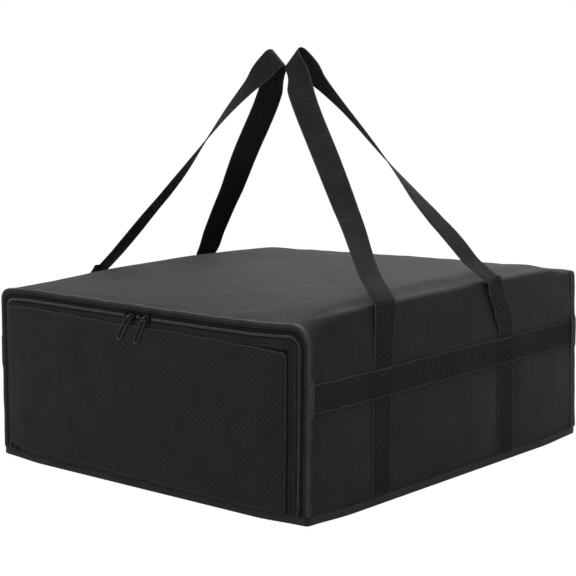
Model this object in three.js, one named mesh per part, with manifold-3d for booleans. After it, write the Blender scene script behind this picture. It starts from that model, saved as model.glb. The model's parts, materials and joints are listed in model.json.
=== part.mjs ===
// Insulated pizza delivery bag with a zipped front flap and two webbing carrying loops.
// Millimetres, +Z up. The front flap faces -Y and the origin is on the ground, under the
// middle of the whole bag, sliders included.

import * as THREE from 'three';
import { mergeVertices } from 'three/addons/utils/BufferGeometryUtils.js';
import Module from 'manifold-3d';

const wasm = await Module();
wasm.setup();

// The bag's overall size, over the outer fabric
const bagWidth = 610;
const bagDepth = 610;
const bagHeight = 254;
const foldRadius = 32;
const tightRadius = 6;

// Walls: outer fabric, foam and foil lining, with the clearance between touching sheets
const clearance = 0.3;
const fabric = 1;
const foam = 8;
const foil = 0.6;
const board = 3;
const baseFoam = 8;

// Seam binding tape
const frontBindingFace = 6.5;
const frontBindingSide = 8;
const backBindingSide = 12;
const backBindingFace = 9;
const baseBindingHeight = 12;
const baseBindingUnder = 10;

// Zip: two coils with their tapes, run round three sides of the front
const zipInset = 14.9;
const coilWidth = 1.3;
const coilThickness = 2.4;
const coilSplit = 1.4;
const tapeThickness = 0.8;
const zipStopLength = 6;
const zipStopProud = 0.6;

// Front flap: a padded panel that stands proud of the zip tape
const flapInset = 34;
const flapProud = 4;
const flapFoam = 8;
const flapHem = 1;

// Zip sliders and their pulls
const sliderLength = 17;
const sliderHeight = 11;
const sliderWing = 1.4;
const sliderRounding = 4;
const sliderPost = 0.8;
const sliderPostLength = 5;
const leftSliderX = -8;
const rightSliderX = 22;
const bridgeWidth = 2.6;
const bridgeReach = 1.5;
const bridgeBar = 1;
const pullLength = 44;
const pullWidth = 10;
const pullThickness = 1.6;
const pullRail = 2.4;
const pullBar = 0.9;
const pullEnd = 4.2;
const pullAboveFlap = 0.4;
const leftPullTilt = THREE.MathUtils.degToRad(37);
const rightPullTilt = THREE.MathUtils.degToRad(29);

// Webbing on the sides
const webWidth = 38;
const webThickness = 1.5;
const bandTopInset = 74;
const bandStep = 3;
const frontStrapY = -163;
const backStrapY = 118;
const stitchSize = 30;
const stitchThread = 1;
const stitchHeight = 0.4;

// Carrying loops: each leaves the top of its band, bends over the fold and leans to the apex
const apexHeight = 570;
const apexHalfGap = 1.4;
const apexY = 6.5;
const apexRadius = 9;
const kneeSpan = 20;
const footKnee = 17.5;
const footSpan = 11;
const loopStep = 6;
const twistKnees = [
  { share: 0, degrees: 0 },
  { share: 0.3, degrees: 4 },
  { share: 0.45, degrees: 12 },
  { share: 0.6, degrees: 32 },
  { share: 0.75, degrees: 40 },
  { share: 0.88, degrees: 57 },
  { share: 1, degrees: 90 },
];
const foldShifts = { right: { front: 1, back: -23 }, left: { front: 42, back: 3 } };

const roundSteps = 6;
const overrun = 2;

// Places worked out from the sizes above
const front = -bagDepth / 2;
const back = bagDepth / 2;
const side = bagWidth / 2;
const wallFoam = fabric + clearance;
const wallLining = wallFoam + foam + clearance;
const wallInside = wallLining + foil + clearance;
const frontEdge = front + fabric + clearance;
const backInside = back - fabric - clearance;
const backFoamFront = backInside - foam;
const backLiningFront = backFoamFront - clearance - foil;
const baseFoamTop = fabric + clearance + baseFoam;
const boardTop = baseFoamTop + clearance + board;
const baseLiningTop = boardTop + clearance + foil;
const bindingTop = baseBindingHeight + clearance;
const bodyCoilInset = zipInset - coilSplit / 2 - coilWidth;
const flapCoilInset = zipInset + coilSplit / 2;
const tapeBack = front + tapeThickness;
const coilFront = front + (tapeThickness - coilThickness) / 2;
const coilBack = coilFront + coilThickness;
const zipHeight = bagHeight - zipInset;
const flapFace = front - flapProud;
const flapFoamFront = flapFace + fabric + clearance;
const flapFoamBack = flapFoamFront + flapFoam;
const flapBack = flapFoamBack + clearance + foil;
const wingBack = coilFront - clearance;
const wingFront = wingBack - sliderWing;
const pullBack = flapFace - pullAboveFlap;
const pullFront = pullBack - pullThickness;
const pullAxisY = (pullBack + pullFront) / 2;
const bridgeInside = pullAxisY - bridgeReach;
const bridgeFront = bridgeInside - bridgeBar;
const bandTop = bagHeight - bandTopInset;
const bandBottom = bandTop - webWidth;
const strapInner = side + clearance;
const strapOuter = strapInner + webThickness;
const bandOuter = strapOuter + clearance + webThickness;
const strapBottom = bindingTop;
const backReach = back + clearance + fabric;
const middleShift = -(bridgeFront + backReach) / 2;

// Finishes
const finishes = {
  oxford: { color: 0x2a2a2b, roughness: 0.85, metalness: 0 },
  binding: { color: 0x242425, roughness: 0.8, metalness: 0 },
  webbing: { color: 0x232324, roughness: 0.75, metalness: 0 },
  thread: { color: 0x1c1c1d, roughness: 0.7, metalness: 0 },
  tape: { color: 0x1f1f20, roughness: 0.85, metalness: 0 },
  coil: { color: 0x303032, roughness: 0.4, metalness: 0 },
  blackMetal: { color: 0x101011, roughness: 0.2, metalness: 0.6 },
  foamWhite: { color: 0xe4e4e0, roughness: 0.9, metalness: 0 },
  foil: { color: 0xc9cbcd, roughness: 0.3, metalness: 0.9 },
  board: { color: 0x3a3a3a, roughness: 0.7, metalness: 0 },
};

const bag = new THREE.Group();
const placed = new THREE.Group();
placed.position.y = middleShift;
bag.add(placed);

function addPart(name, finish, geometry) {
  const mesh = new THREE.Mesh(geometry, new THREE.MeshStandardMaterial(finishes[finish]));
  mesh.name = name;
  placed.add(mesh);
  return mesh;
}

// A box between two corners
function slab(x0, x1, y0, y1, z0, z1) {
  const geometry = new THREE.BoxGeometry(x1 - x0, y1 - y0, z1 - z0);
  return geometry.translate((x0 + x1) / 2, (y0 + y1) / 2, (z0 + z1) / 2);
}

// A shape drawn as seen from the front, x across and y up, carried from y0 to y1 in depth
function extrudeDeep(shape, y0, y1) {
  const options = { depth: y1 - y0, bevelEnabled: false, curveSegments: roundSteps };
  const geometry = new THREE.ExtrudeGeometry(shape, options);
  return geometry.rotateX(Math.PI / 2).translate(0, y1, 0);
}

function toSolid(geometry) {
  const bare = geometry.clone();
  bare.deleteAttribute('normal');
  bare.deleteAttribute('uv');
  const merged = mergeVertices(bare);
  const vertProperties = new Float32Array(merged.attributes.position.array);
  const triVerts = new Uint32Array(merged.index.array);
  return new wasm.Manifold(new wasm.Mesh({ numProp: 3, vertProperties, triVerts }));
}

function toGeometry(solid) {
  const mesh = solid.getMesh();
  const geometry = new THREE.BufferGeometry();
  geometry.setAttribute('position', new THREE.BufferAttribute(mesh.vertProperties, 3));
  geometry.setIndex(new THREE.BufferAttribute(mesh.triVerts, 1));
  geometry.computeVertexNormals();
  return geometry;
}

function join(...geometries) {
  return toGeometry(geometries.map(toSolid).reduce((whole, piece) => whole.add(piece)));
}

function cut(geometry, ...tools) {
  return toGeometry(tools.map(toSolid).reduce((whole, tool) => whole.subtract(tool), toSolid(geometry)));
}

// The bag's front outline, drawn inset by some distance, from one foot over the top to the other
function archPoints(inset, foot) {
  const reach = side - inset;
  const top = bagHeight - inset;
  const radius = Math.max(foldRadius - inset, tightRadius);
  const points = [new THREE.Vector2(-reach, foot)];
  for (const turn of [Math.PI, Math.PI / 2]) {
    const centreX = turn === Math.PI ? radius - reach : reach - radius;
    for (let step = 0; step <= roundSteps; step += 1) {
      const angle = turn - (Math.PI / 2) * (step / roundSteps);
      const x = centreX + radius * Math.cos(angle);
      points.push(new THREE.Vector2(x, top - radius + radius * Math.sin(angle)));
    }
  }
  points.push(new THREE.Vector2(reach, foot));
  return points;
}

// A plate that fills the outline
function archPlate(inset, foot, y0, y1) {
  return extrudeDeep(new THREE.Shape(archPoints(inset, foot)), y0, y1);
}

// A sheet that follows the outline between two insets, open at the bottom
function archSheet(outerInset, innerInset, foot, y0, y1) {
  const points = [...archPoints(outerInset, foot), ...archPoints(innerInset, foot).reverse()];
  return extrudeDeep(new THREE.Shape(points), y0, y1);
}

// Top and side walls
function addWraps() {
  addPart('outer_wrap', 'oxford', archSheet(0, fabric, wallFoam, frontEdge, backInside));
  addPart('foam_wrap', 'foamWhite', archSheet(wallFoam, wallFoam + foam, wallFoam, frontEdge, backInside));
  const liningFoot = baseFoamTop + clearance;
  const liningBack = backFoamFront - clearance;
  const lining = archSheet(wallLining, wallLining + foil, liningFoot, frontEdge, liningBack);
  addPart('lining_wrap', 'foil', lining);
}

function addBack() {
  addPart('outer_back_panel', 'oxford', archPlate(0, wallFoam, back - fabric, back));
  addPart('foam_back', 'foamWhite', archPlate(wallLining, wallFoam, backFoamFront, backInside));
  const liningFoot = baseFoamTop + clearance;
  const liningBack = backFoamFront - clearance;
  addPart('lining_back', 'foil', archPlate(wallInside, liningFoot, backLiningFront, liningBack));
}

function addBase() {
  const under = baseBindingUnder + clearance;
  const panel = slab(under - side, side - under, front + under, back - under, 0, fabric);
  addPart('outer_base_panel', 'oxford', panel);
  const foamReach = side - wallLining;
  const foamBack = backFoamFront - clearance;
  const padding = slab(-foamReach, foamReach, frontEdge, foamBack, wallFoam, baseFoamTop);
  addPart('foam_base', 'foamWhite', padding);
  const insideReach = side - wallInside;
  const insideFront = flapBack + clearance;
  const insideBack = backLiningFront - clearance;
  const boardFoot = baseFoamTop + clearance;
  const stiffener = slab(-insideReach, insideReach, insideFront, insideBack, boardFoot, boardTop);
  addPart('base_board', 'board', stiffener);
  const liningFoot = boardTop + clearance;
  const lining = slab(-insideReach, insideReach, insideFront, insideBack, liningFoot, baseLiningTop);
  addPart('lining_base', 'foil', lining);
}

function addBindings() {
  const outside = -clearance - fabric;
  const frontFace = archSheet(outside, frontBindingFace, bindingTop, front, front + fabric);
  const frontSide = archSheet(outside, -clearance, bindingTop, front, front + frontBindingSide);
  addPart('front_rim_binding', 'binding', join(frontFace, frontSide));

  const backFace = archSheet(outside, backBindingFace, bindingTop, back + clearance, backReach);
  const backSide = archSheet(outside, -clearance, bindingTop, back - backBindingSide, backReach);
  addPart('back_rim_binding', 'binding', join(backFace, backSide));

  const reach = side - outside;
  const ring = slab(-reach, reach, front, backReach, 0, baseBindingHeight);
  const wallReach = side + clearance;
  const wallsTop = baseBindingHeight + overrun;
  const walls = slab(-wallReach, wallReach, front + fabric, back + clearance, fabric, wallsTop);
  const holeReach = side - baseBindingUnder;
  const holeFront = front + baseBindingUnder;
  const holeBack = back - baseBindingUnder;
  const hole = slab(-holeReach, holeReach, holeFront, holeBack, -overrun, overrun);
  addPart('base_binding', 'binding', cut(ring, walls, hole));
}

function addZip() {
  const bodyTapeOuter = frontBindingFace + clearance;
  const bodyTapeInner = bodyCoilInset - clearance;
  addPart('body_zip_tape', 'tape', archSheet(bodyTapeOuter, bodyTapeInner, bindingTop, front, tapeBack));
  const stopTop = bindingTop + zipStopLength;
  const coilFoot = stopTop + clearance;
  const bodyCoil = archSheet(bodyCoilInset, bodyCoilInset + coilWidth, coilFoot, coilFront, coilBack);
  addPart('body_zip_coil', 'coil', bodyCoil);
  const flapCoil = archSheet(flapCoilInset, flapCoilInset + coilWidth, coilFoot, coilFront, coilBack);
  addPart('flap_zip_coil', 'coil', flapCoil);
  const flapTapeOuter = flapCoilInset + coilWidth + clearance;
  const flapTapeInner = flapInset - clearance;
  addPart('flap_zip_tape', 'tape', archSheet(flapTapeOuter, flapTapeInner, bindingTop, front, tapeBack));

  const stopOuter = side - bodyCoilInset;
  const stopInner = side - flapCoilInset - coilWidth;
  const stopFront = coilFront - zipStopProud;
  const leftStop = slab(-stopOuter, -stopInner, stopFront, coilBack, bindingTop, stopTop);
  addPart('zip_stop_left', 'blackMetal', leftStop);
  const rightStop = slab(stopInner, stopOuter, stopFront, coilBack, bindingTop, stopTop);
  addPart('zip_stop_right', 'blackMetal', rightStop);
}

function addFlap() {
  const shell = archPlate(flapInset, bindingTop, flapFace, front);
  const hemInset = flapInset + flapHem;
  const hollow = archPlate(hemInset, bindingTop + flapHem, flapFace + fabric, front + overrun);
  addPart('flap_outer_panel', 'oxford', cut(shell, hollow));
  const foamInset = hemInset + clearance;
  const foamFoot = bindingTop + flapHem + clearance;
  addPart('flap_foam', 'foamWhite', archPlate(foamInset, foamFoot, flapFoamFront, flapFoamBack));
  addPart('flap_lining', 'foil', archPlate(foamInset, foamFoot, flapFoamBack + clearance, flapBack));
}

function roundedRectangle(width, height, radius) {
  const shape = new THREE.Shape();
  const x = width / 2;
  const y = height / 2;
  shape.moveTo(-x + radius, -y);
  shape.lineTo(x - radius, -y);
  shape.absarc(x - radius, -y + radius, radius, -Math.PI / 2, 0, false);
  shape.absarc(x - radius, y - radius, radius, 0, Math.PI / 2, false);
  shape.absarc(-x + radius, y - radius, radius, Math.PI / 2, Math.PI, false);
  shape.absarc(-x + radius, -y + radius, radius, Math.PI, Math.PI * 1.5, false);
  return shape;
}

// A slider, drawn about its own middle: front wing, post between the coils, back wing behind
// the flap's coil only, and the bridge that holds the pull, turned the way the pull hangs
function sliderGeometry(tilt) {
  const outline = roundedRectangle(sliderLength, sliderHeight, sliderRounding);
  const frontWing = extrudeDeep(outline, wingFront, wingBack);
  const wingMiddle = (wingFront + wingBack) / 2;
  const backWingFront = coilBack + clearance;
  const backWingBack = backWingFront + sliderWing;
  const halfPost = sliderPost / 2;
  const halfPostLength = sliderPostLength / 2;
  const post = slab(-halfPostLength, halfPostLength, wingMiddle, backWingBack, -halfPost, halfPost);
  const halfLength = sliderLength / 2;
  const backWing = slab(-halfLength, halfLength, backWingFront, backWingBack, -sliderHeight / 2, halfPost);
  const halfBridge = bridgeReach + bridgeBar;
  const halfWidth = bridgeWidth / 2;
  const arch = slab(-halfWidth, halfWidth, bridgeFront, wingMiddle, -halfBridge, halfBridge);
  const mouth = slab(-bridgeWidth, bridgeWidth, bridgeInside, wingFront, -bridgeReach, bridgeReach);
  const bridge = cut(arch, mouth).rotateY(tilt);
  return join(frontWing, post, backWing, bridge);
}

// A pull, drawn hanging straight down from its crossbar, then tilted
function pullGeometry(tilt) {
  const top = pullBar;
  const bottom = pullBar - pullLength;
  const half = pullWidth / 2;
  const plate = new THREE.Shape();
  plate.moveTo(-half, top);
  plate.lineTo(-half, bottom + half);
  plate.absarc(0, bottom + half, half, Math.PI, Math.PI * 2, false);
  plate.lineTo(half, top);
  const slotHalf = half - pullRail;
  const slotBottom = bottom + pullEnd + slotHalf;
  const slot = new THREE.Path();
  slot.moveTo(slotHalf, -pullBar);
  slot.lineTo(slotHalf, slotBottom);
  slot.absarc(0, slotBottom, slotHalf, 0, -Math.PI, true);
  slot.lineTo(-slotHalf, -pullBar);
  plate.holes.push(slot);
  return extrudeDeep(plate, pullFront, pullBack).rotateY(tilt);
}

function addSliders() {
  const sliders = [
    { name: 'left', x: leftSliderX, tilt: leftPullTilt },
    { name: 'right', x: rightSliderX, tilt: rightPullTilt },
  ];
  for (const { name, x, tilt } of sliders) {
    const slider = addPart(`zip_slider_${name}`, 'blackMetal', sliderGeometry(tilt));
    slider.position.set(x, 0, zipHeight);
    const pull = addPart(`zip_pull_${name}`, 'blackMetal', pullGeometry(tilt));
    pull.position.set(x, 0, zipHeight);
  }
}

// The band's outline from above, for the right side: flat on the fabric, stepping over each strap
function bandShape() {
  const start = front + frontBindingSide + clearance;
  const end = back - backBindingSide - clearance;
  const low = side + clearance;
  const high = strapOuter + clearance;
  const line = [[start, low]];
  for (const middle of [frontStrapY, backStrapY]) {
    const edge = webWidth / 2 + clearance;
    line.push([middle - edge - bandStep, low], [middle - edge, high]);
    line.push([middle + edge, high], [middle + edge + bandStep, low]);
  }
  line.push([end, low]);
  const inner = line.map(([y, x]) => new THREE.Vector2(x, y));
  const outer = line.map(([y, x]) => new THREE.Vector2(x + webThickness, y));
  return new THREE.Shape([...inner, ...outer.reverse()]);
}

// A square of thread with a cross in it: four triangular holes in a thin plate
function stitchGeometry() {
  const half = stitchSize / 2;
  const hole = half - stitchThread;
  const plate = new THREE.Shape();
  plate.moveTo(-half, -half).lineTo(half, -half).lineTo(half, half).lineTo(-half, half);
  const near = stitchThread * Math.SQRT1_2;
  for (let quarter = 0; quarter < 4; quarter += 1) {
    const turn = (quarter * Math.PI) / 2;
    const places = [[near, 0], [hole, near - hole], [hole, hole - near]];
    const corners = places.map(([x, y]) => new THREE.Vector2(x, y));
    corners.forEach((corner) => corner.rotateAround(new THREE.Vector2(0, 0), turn));
    plate.holes.push(new THREE.Path(corners));
  }
  const geometry = new THREE.ExtrudeGeometry(plate, { depth: stitchHeight, bevelEnabled: false });
  return geometry.rotateX(Math.PI / 2).rotateZ(Math.PI / 2);
}

function addSideWebbing() {
  const band = new THREE.ExtrudeGeometry(bandShape(), { depth: webWidth, bevelEnabled: false });
  band.translate(0, 0, bandBottom);
  for (const [name, turn] of [['right', 1], ['left', -1]]) {
    addPart(`side_band_${name}`, 'webbing', mirrored(band, turn));
    for (const [place, y] of [['front', frontStrapY], ['back', backStrapY]]) {
      const half = webWidth / 2;
      const strap = slab(strapInner, strapOuter, y - half, y + half, strapBottom, bandTop);
      addPart(`strap_${place}_${name}`, 'webbing', mirrored(strap, turn));
      const stitch = stitchGeometry();
      stitch.translate(bandOuter + clearance, y, bandTop - half);
      addPart(`box_stitch_${place}_${name}`, 'thread', mirrored(stitch, turn));
    }
  }
}

// The same geometry, or its mirror image in X with the faces turned out again
function mirrored(geometry, turn) {
  if (turn > 0) {
    return geometry.clone();
  }
  const copy = geometry.index ? geometry.toNonIndexed() : geometry.clone();
  copy.scale(-1, 1, 1);
  const points = copy.attributes.position;
  const first = new THREE.Vector3();
  const second = new THREE.Vector3();
  for (let corner = 0; corner < points.count; corner += 3) {
    first.fromBufferAttribute(points, corner);
    second.fromBufferAttribute(points, corner + 1);
    points.setXYZ(corner, second.x, second.y, second.z);
    points.setXYZ(corner + 1, first.x, first.y, first.z);
  }
  copy.deleteAttribute('normal');
  copy.deleteAttribute('uv');
  copy.computeVertexNormals();
  return copy;
}

// The surface that a loop is laid out on, unrolled: up the side, round the fold, then straight
// on at a lean until it passes the apex. Right side of the bag.
const loopFoot = bandTop + clearance;
const foldX = side - foldRadius;
const foldZ = bagHeight - foldRadius;
const loopRadius = foldRadius + clearance + webThickness / 2;
const toApexX = foldX - apexHalfGap;
const toApexZ = apexHeight - foldZ;
const toApex = Math.hypot(toApexX, toApexZ);
const lean = Math.atan2(toApexX, toApexZ) + Math.asin(loopRadius / toApex);
const sideRun = foldZ - loopFoot;
const foldRun = loopRadius * lean;
const leanRun = Math.sqrt(toApex * toApex - loopRadius * loopRadius);
const apexRun = sideRun + foldRun + leanRun;

function laidOut(run, y) {
  let angle = 0;
  let beyond = 0;
  let x = foldX + loopRadius;
  let z = loopFoot + run;
  if (run > sideRun) {
    angle = Math.min((run - sideRun) / loopRadius, lean);
    beyond = Math.max(run - sideRun - foldRun, 0);
    x = foldX + loopRadius * Math.cos(angle) - beyond * Math.sin(angle);
    z = foldZ + loopRadius * Math.sin(angle) + beyond * Math.cos(angle);
  }
  const point = new THREE.Vector3(x, y, z);
  const outward = new THREE.Vector3(Math.cos(angle), 0, Math.sin(angle));
  return { point, outward };
}

// A loop's route on that surface: up one strap, over a tight bend at the apex, down the other.
// Each leg turns a little where it leaves the band, and again at the fold.
function loopRoute(shifts) {
  const knee = sideRun + foldRun / 2;
  const middle = new THREE.Vector2(apexRun - apexRadius, apexY);
  const places = [[frontStrapY, shifts.front], [backStrapY, shifts.back]];
  const legs = places.map(([y, shift]) => {
    const foldY = y + shift;
    const away = Math.sign(foldY - apexY);
    const distance = Math.hypot(middle.x - knee, middle.y - foldY);
    const heading = Math.atan2(middle.y - foldY, middle.x - knee) + away * Math.asin(apexRadius / distance);
    const slant = Math.atan2(shift, knee - footKnee);
    const from = (x, start, span, turn) => {
      return new THREE.Vector2(x + span * Math.cos(turn), start + span * Math.sin(turn));
    };
    return {
      y,
      foldY,
      heading,
      foot: from(footKnee, y, footSpan, slant),
      fold: from(knee, foldY, -kneeSpan, slant),
      bend: from(knee, foldY, kneeSpan, heading),
    };
  });
  const [first, last] = legs;
  const route = new THREE.Path();
  route.moveTo(0, first.y);
  route.lineTo(footKnee - footSpan, first.y);
  route.quadraticCurveTo(footKnee, first.y, first.foot.x, first.foot.y);
  route.lineTo(first.fold.x, first.fold.y);
  route.quadraticCurveTo(knee, first.foldY, first.bend.x, first.bend.y);
  const arcStart = first.heading - Math.PI / 2;
  const arcEnd = last.heading + Math.PI / 2;
  route.absarc(middle.x, middle.y, apexRadius, arcStart, arcEnd, false);
  route.lineTo(last.bend.x, last.bend.y);
  route.quadraticCurveTo(knee, last.foldY, last.fold.x, last.fold.y);
  route.lineTo(last.foot.x, last.foot.y);
  route.quadraticCurveTo(footKnee, last.y, footKnee - footSpan, last.y);
  route.lineTo(0, last.y);
  return route;
}

function twistAt(share) {
  const next = Math.max(twistKnees.findIndex((knee) => knee.share >= share), 1);
  const low = twistKnees[next - 1];
  const high = twistKnees[next];
  const degrees = THREE.MathUtils.mapLinear(share, low.share, high.share, low.degrees, high.degrees);
  return THREE.MathUtils.degToRad(degrees);
}

// A flat ribbon along the route that turns a quarter about its length on the way up each leg,
// so that it lies flat on the side at its feet and bends flat over the apex
function loopGeometry(shifts) {
  const route = loopRoute(shifts);
  const steps = Math.round(route.getLength() / loopStep);
  const spots = route.getSpacedPoints(steps);
  const half = webWidth / 2;
  const halfThick = webThickness / 2;
  const section = [[half, halfThick], [half, -halfThick], [-half, -halfThick], [-half, halfThick]];
  const positions = [];
  const laid = spots.map((spot) => laidOut(spot.x, spot.y));
  laid.forEach(({ point, outward }, step) => {
    const before = laid[Math.max(step - 1, 0)].point;
    const after = laid[Math.min(step + 1, steps)].point;
    const along = after.clone().sub(before);
    along.addScaledVector(outward, -along.dot(outward)).normalize();
    const share = Math.min(spots[step].x / (apexRun - apexRadius), 1);
    const twist = twistAt(share);
    const edgewise = outward.clone().cross(along);
    const face = outward.clone().multiplyScalar(Math.cos(twist)).addScaledVector(edgewise, Math.sin(twist));
    const across = along.clone().cross(face);
    const centre = point.clone().addScaledVector(outward, half * Math.sin(twist));
    for (const [wide, thick] of section) {
      const corner = centre.clone().addScaledVector(across, wide).addScaledVector(face, thick);
      positions.push(corner.x, corner.y, corner.z);
    }
  });
  const indices = [0, 2, 1, 0, 3, 2];
  for (let step = 0; step < steps; step += 1) {
    for (let corner = 0; corner < 4; corner += 1) {
      const a = step * 4 + corner;
      const b = step * 4 + ((corner + 1) % 4);
      indices.push(a, b, a + 4, b, b + 4, a + 4);
    }
  }
  const end = steps * 4;
  indices.push(end, end + 1, end + 2, end, end + 2, end + 3);
  const geometry = new THREE.BufferGeometry();
  geometry.setAttribute('position', new THREE.Float32BufferAttribute(positions, 3));
  geometry.setIndex(indices);
  geometry.computeVertexNormals();
  return geometry;
}

function addHandles() {
  addPart('handle_right', 'webbing', mirrored(loopGeometry(foldShifts.right), 1));
  addPart('handle_left', 'webbing', mirrored(loopGeometry(foldShifts.left), -1));
}

addWraps();
addBack();
addBase();
addBindings();
addZip();
addFlap();
addSliders();
addSideWebbing();
addHandles();

export default bag;
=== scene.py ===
"""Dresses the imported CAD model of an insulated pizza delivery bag: padded fabric walls, a
zipped front flap, webbing bands and two carrying loops. Metres, +Z up, flap towards -Y."""

import json
import math

import bpy
import numpy as np
from mathutils import Matrix, Vector


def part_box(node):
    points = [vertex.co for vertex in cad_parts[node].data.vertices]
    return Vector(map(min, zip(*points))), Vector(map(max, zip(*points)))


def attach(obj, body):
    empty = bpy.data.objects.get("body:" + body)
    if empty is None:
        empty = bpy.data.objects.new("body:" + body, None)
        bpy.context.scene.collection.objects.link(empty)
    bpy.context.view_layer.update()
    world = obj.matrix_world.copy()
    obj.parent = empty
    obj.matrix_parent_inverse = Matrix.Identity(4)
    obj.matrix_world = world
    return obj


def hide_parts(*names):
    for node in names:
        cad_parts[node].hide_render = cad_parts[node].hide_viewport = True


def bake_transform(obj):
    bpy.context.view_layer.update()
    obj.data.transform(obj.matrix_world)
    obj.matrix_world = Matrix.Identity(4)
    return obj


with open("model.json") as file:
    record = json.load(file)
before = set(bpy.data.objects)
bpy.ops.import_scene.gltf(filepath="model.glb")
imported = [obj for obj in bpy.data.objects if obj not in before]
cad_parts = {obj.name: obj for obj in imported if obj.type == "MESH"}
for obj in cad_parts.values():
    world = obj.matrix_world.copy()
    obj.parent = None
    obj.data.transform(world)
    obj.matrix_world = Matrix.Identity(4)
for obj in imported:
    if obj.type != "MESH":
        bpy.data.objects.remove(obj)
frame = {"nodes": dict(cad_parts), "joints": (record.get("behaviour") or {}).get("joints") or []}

bl_info = {
    "name": "Pizza Delivery Bag",
    "version": (1, 0, 0),
    "blender": (4, 5, 0),
    "location": "3D View > Sidebar > Pizza Bag",
    "description": "Makes the fabric, webbing, zip and lining of an insulated delivery bag",
    "category": "Object",
}

# Places read from the CAD model
WALL_LOW, WALL_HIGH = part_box("outer_wrap")
SIDE, TOP = WALL_HIGH.x, WALL_HIGH.z
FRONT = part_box("body_zip_tape")[0].y
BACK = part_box("outer_back_panel")[1].y
MIDDLE = (FRONT + BACK) / 2
HALF_DEPTH = (BACK - FRONT) / 2
FLAP_LOW, FLAP_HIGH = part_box("flap_outer_panel")
FLAP_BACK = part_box("flap_foam")[1].y
RING_LOW, RING_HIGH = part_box("base_binding")
BASE_HEIGHT = RING_HIGH.z
BAND_LOW, BAND_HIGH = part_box("side_band_right")
STRAP_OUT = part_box("strap_front_right")[1].x
WEB = BAND_HIGH.z - BAND_LOW.z
WEB_THICK = STRAP_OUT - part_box("strap_front_right")[0].x
STRAP_Y = [sum(corner.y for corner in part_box(f"strap_{place}_right")) / 2 for place in ("front", "back")]
SIDES = (("right", 1), ("left", -1))

# The outline's folds: as in the CAD at the front, and as tight as the photo shows them further back
FOLD = 0.032
INNER_FOLD = 0.006
BACK_FOLD = 0.005
LEFT_FRONT_FOLD = 0.016
FOLD_TIGHTENS = (FRONT + 0.012, FRONT + 0.08)
RING_CORNER = 0.006
GAP = 0.0003

BINDING_THICK = 0.0011
FOAM_DEPTH = 0.0076
# How far the rims' tapes reach over the front and the back, and where the front tape's painted highlight
# along its fold and painted shade beside its seam lie
RIM_FACE = 0.0065
RIM_FOLD_LINE, RIM_SEAM_LINE = 0.0067, 0.0014
TAPE_THICK = 0.0008
HEM_ROLL = 0.0042
TAPE_STITCH = (0.0032, 0.0006)
SQUARE_STITCH = (0.0034, 0.0009)

# The cloths' threads and ribs, and the scale at which a wave texture has one band per metre
OXFORD_THREAD, OXFORD_TWILL = 0.0011, 0.0042
TAPE_THREAD, TAPE_RIBS = 0.0008, 0.0012
TAPE_LOOK = {"coarse": 0.0012, "sheen": 0.1}
WAVE_SCALE = 2 * math.pi / 20
# How dark the painted shade beside a seam is, at its darkest
SEAM_SHADE = 0.12


# Settings

def length(name, description, default, low=-10, high=10):
    return bpy.props.FloatProperty(
        name=name, description=description, default=default, min=low, max=high, unit="LENGTH")


def angle(name, description, degrees):
    return bpy.props.FloatProperty(
        name=name, description=description, default=math.radians(degrees), subtype="ANGLE")


def colour(name, description, *default):
    return bpy.props.FloatVectorProperty(
        name=name, description=description, default=default, subtype="COLOR", min=0, max=1)


class BagShape(bpy.types.PropertyGroup):
    """Sizes of the soft parts that a user would change."""

    top_crown: length("Top crown", "How far the padded top swells above its seams", 0.0105, 0, 0.014)
    side_crown: length("Side crown", "How far the sides swell between the straps", 0.0022, 0, 0.006)
    flap_crown: length("Flap crown", "How far the padded flap swells in its middle", 0.0028, 0, 0.006)
    flap_rise: length("Flap rise", "How far the flap's top edge climbs at its left end", 0.0118, 0, 0.016)
    corner_lift: length("Corner lift", "How far the base's corners stand off the table", 0.0035, 0, 0.006)
    lean: length("Lean", "How far the front of the soft bag leans sideways at its top", 0.006, -0.01, 0.01)
    tooth_pitch: length("Zip pitch", "From one turn of the zip's coil to the next", 0.0017, 0.001, 0.004)
    stitch_pitch: length("Stitch pitch", "From one stitch of a seam to the next", 0.0042, 0.003, 0.008)


class BagFinish(bpy.types.PropertyGroup):
    """Colours of the bag's materials."""

    oxford: colour("Oxford fabric", "Colour of the outer fabric", 0.0165, 0.0165, 0.017)
    webbing: colour("Webbing", "Colour of the straps, bands and loops", 0.02, 0.02, 0.0205)
    binding: colour("Binding", "Colour of the seam binding and zip tape", 0.026, 0.026, 0.027)
    thread: colour("Thread", "Colour of the seams' thread", 0.006, 0.006, 0.0065)
    # The coil's colour is lighter than black nylon: partly its own colour, partly a painted highlight for
    # the zip chain's bright line
    coil: colour("Zip coil", "Colour of the zip's nylon coil", 0.075, 0.075, 0.078)
    metal: colour("Black metal", "Colour of the sliders and their pulls", 0.006, 0.006, 0.0065)
    foil: colour("Foil lining", "Colour of the inside's foil", 0.62, 0.63, 0.64)
    floor: colour("Floor", "Colour of the studio floor", 0.86, 0.86, 0.86)


class BagStudio(bpy.types.PropertyGroup):
    """The camera and the lights."""

    distance: length("Camera distance", "From the camera to the middle of the bag", 2.1299, 0.5, 10)
    around: angle("Camera azimuth", "Turn about the vertical from the flap's side", 42.6026)
    above: angle("Camera elevation", "Height above the level of the bag's middle", 7.6187)
    roll: angle("Camera roll", "Tilt of the camera about its line of sight", -1.5335)
    slide: length("Camera slide", "How far the camera stands aside of its aim", -0.00442)
    climb: length("Camera climb", "How far the camera stands above its aim", 0.1143)
    lens: bpy.props.FloatProperty(
        name="Focal length", description="On a sensor 36 mm wide", default=88.16, min=20, max=200)
    light: bpy.props.FloatProperty(
        name="Light", description="Strength of all the lamps together", default=1.0, min=0, max=5)


# Mesh helpers

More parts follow.
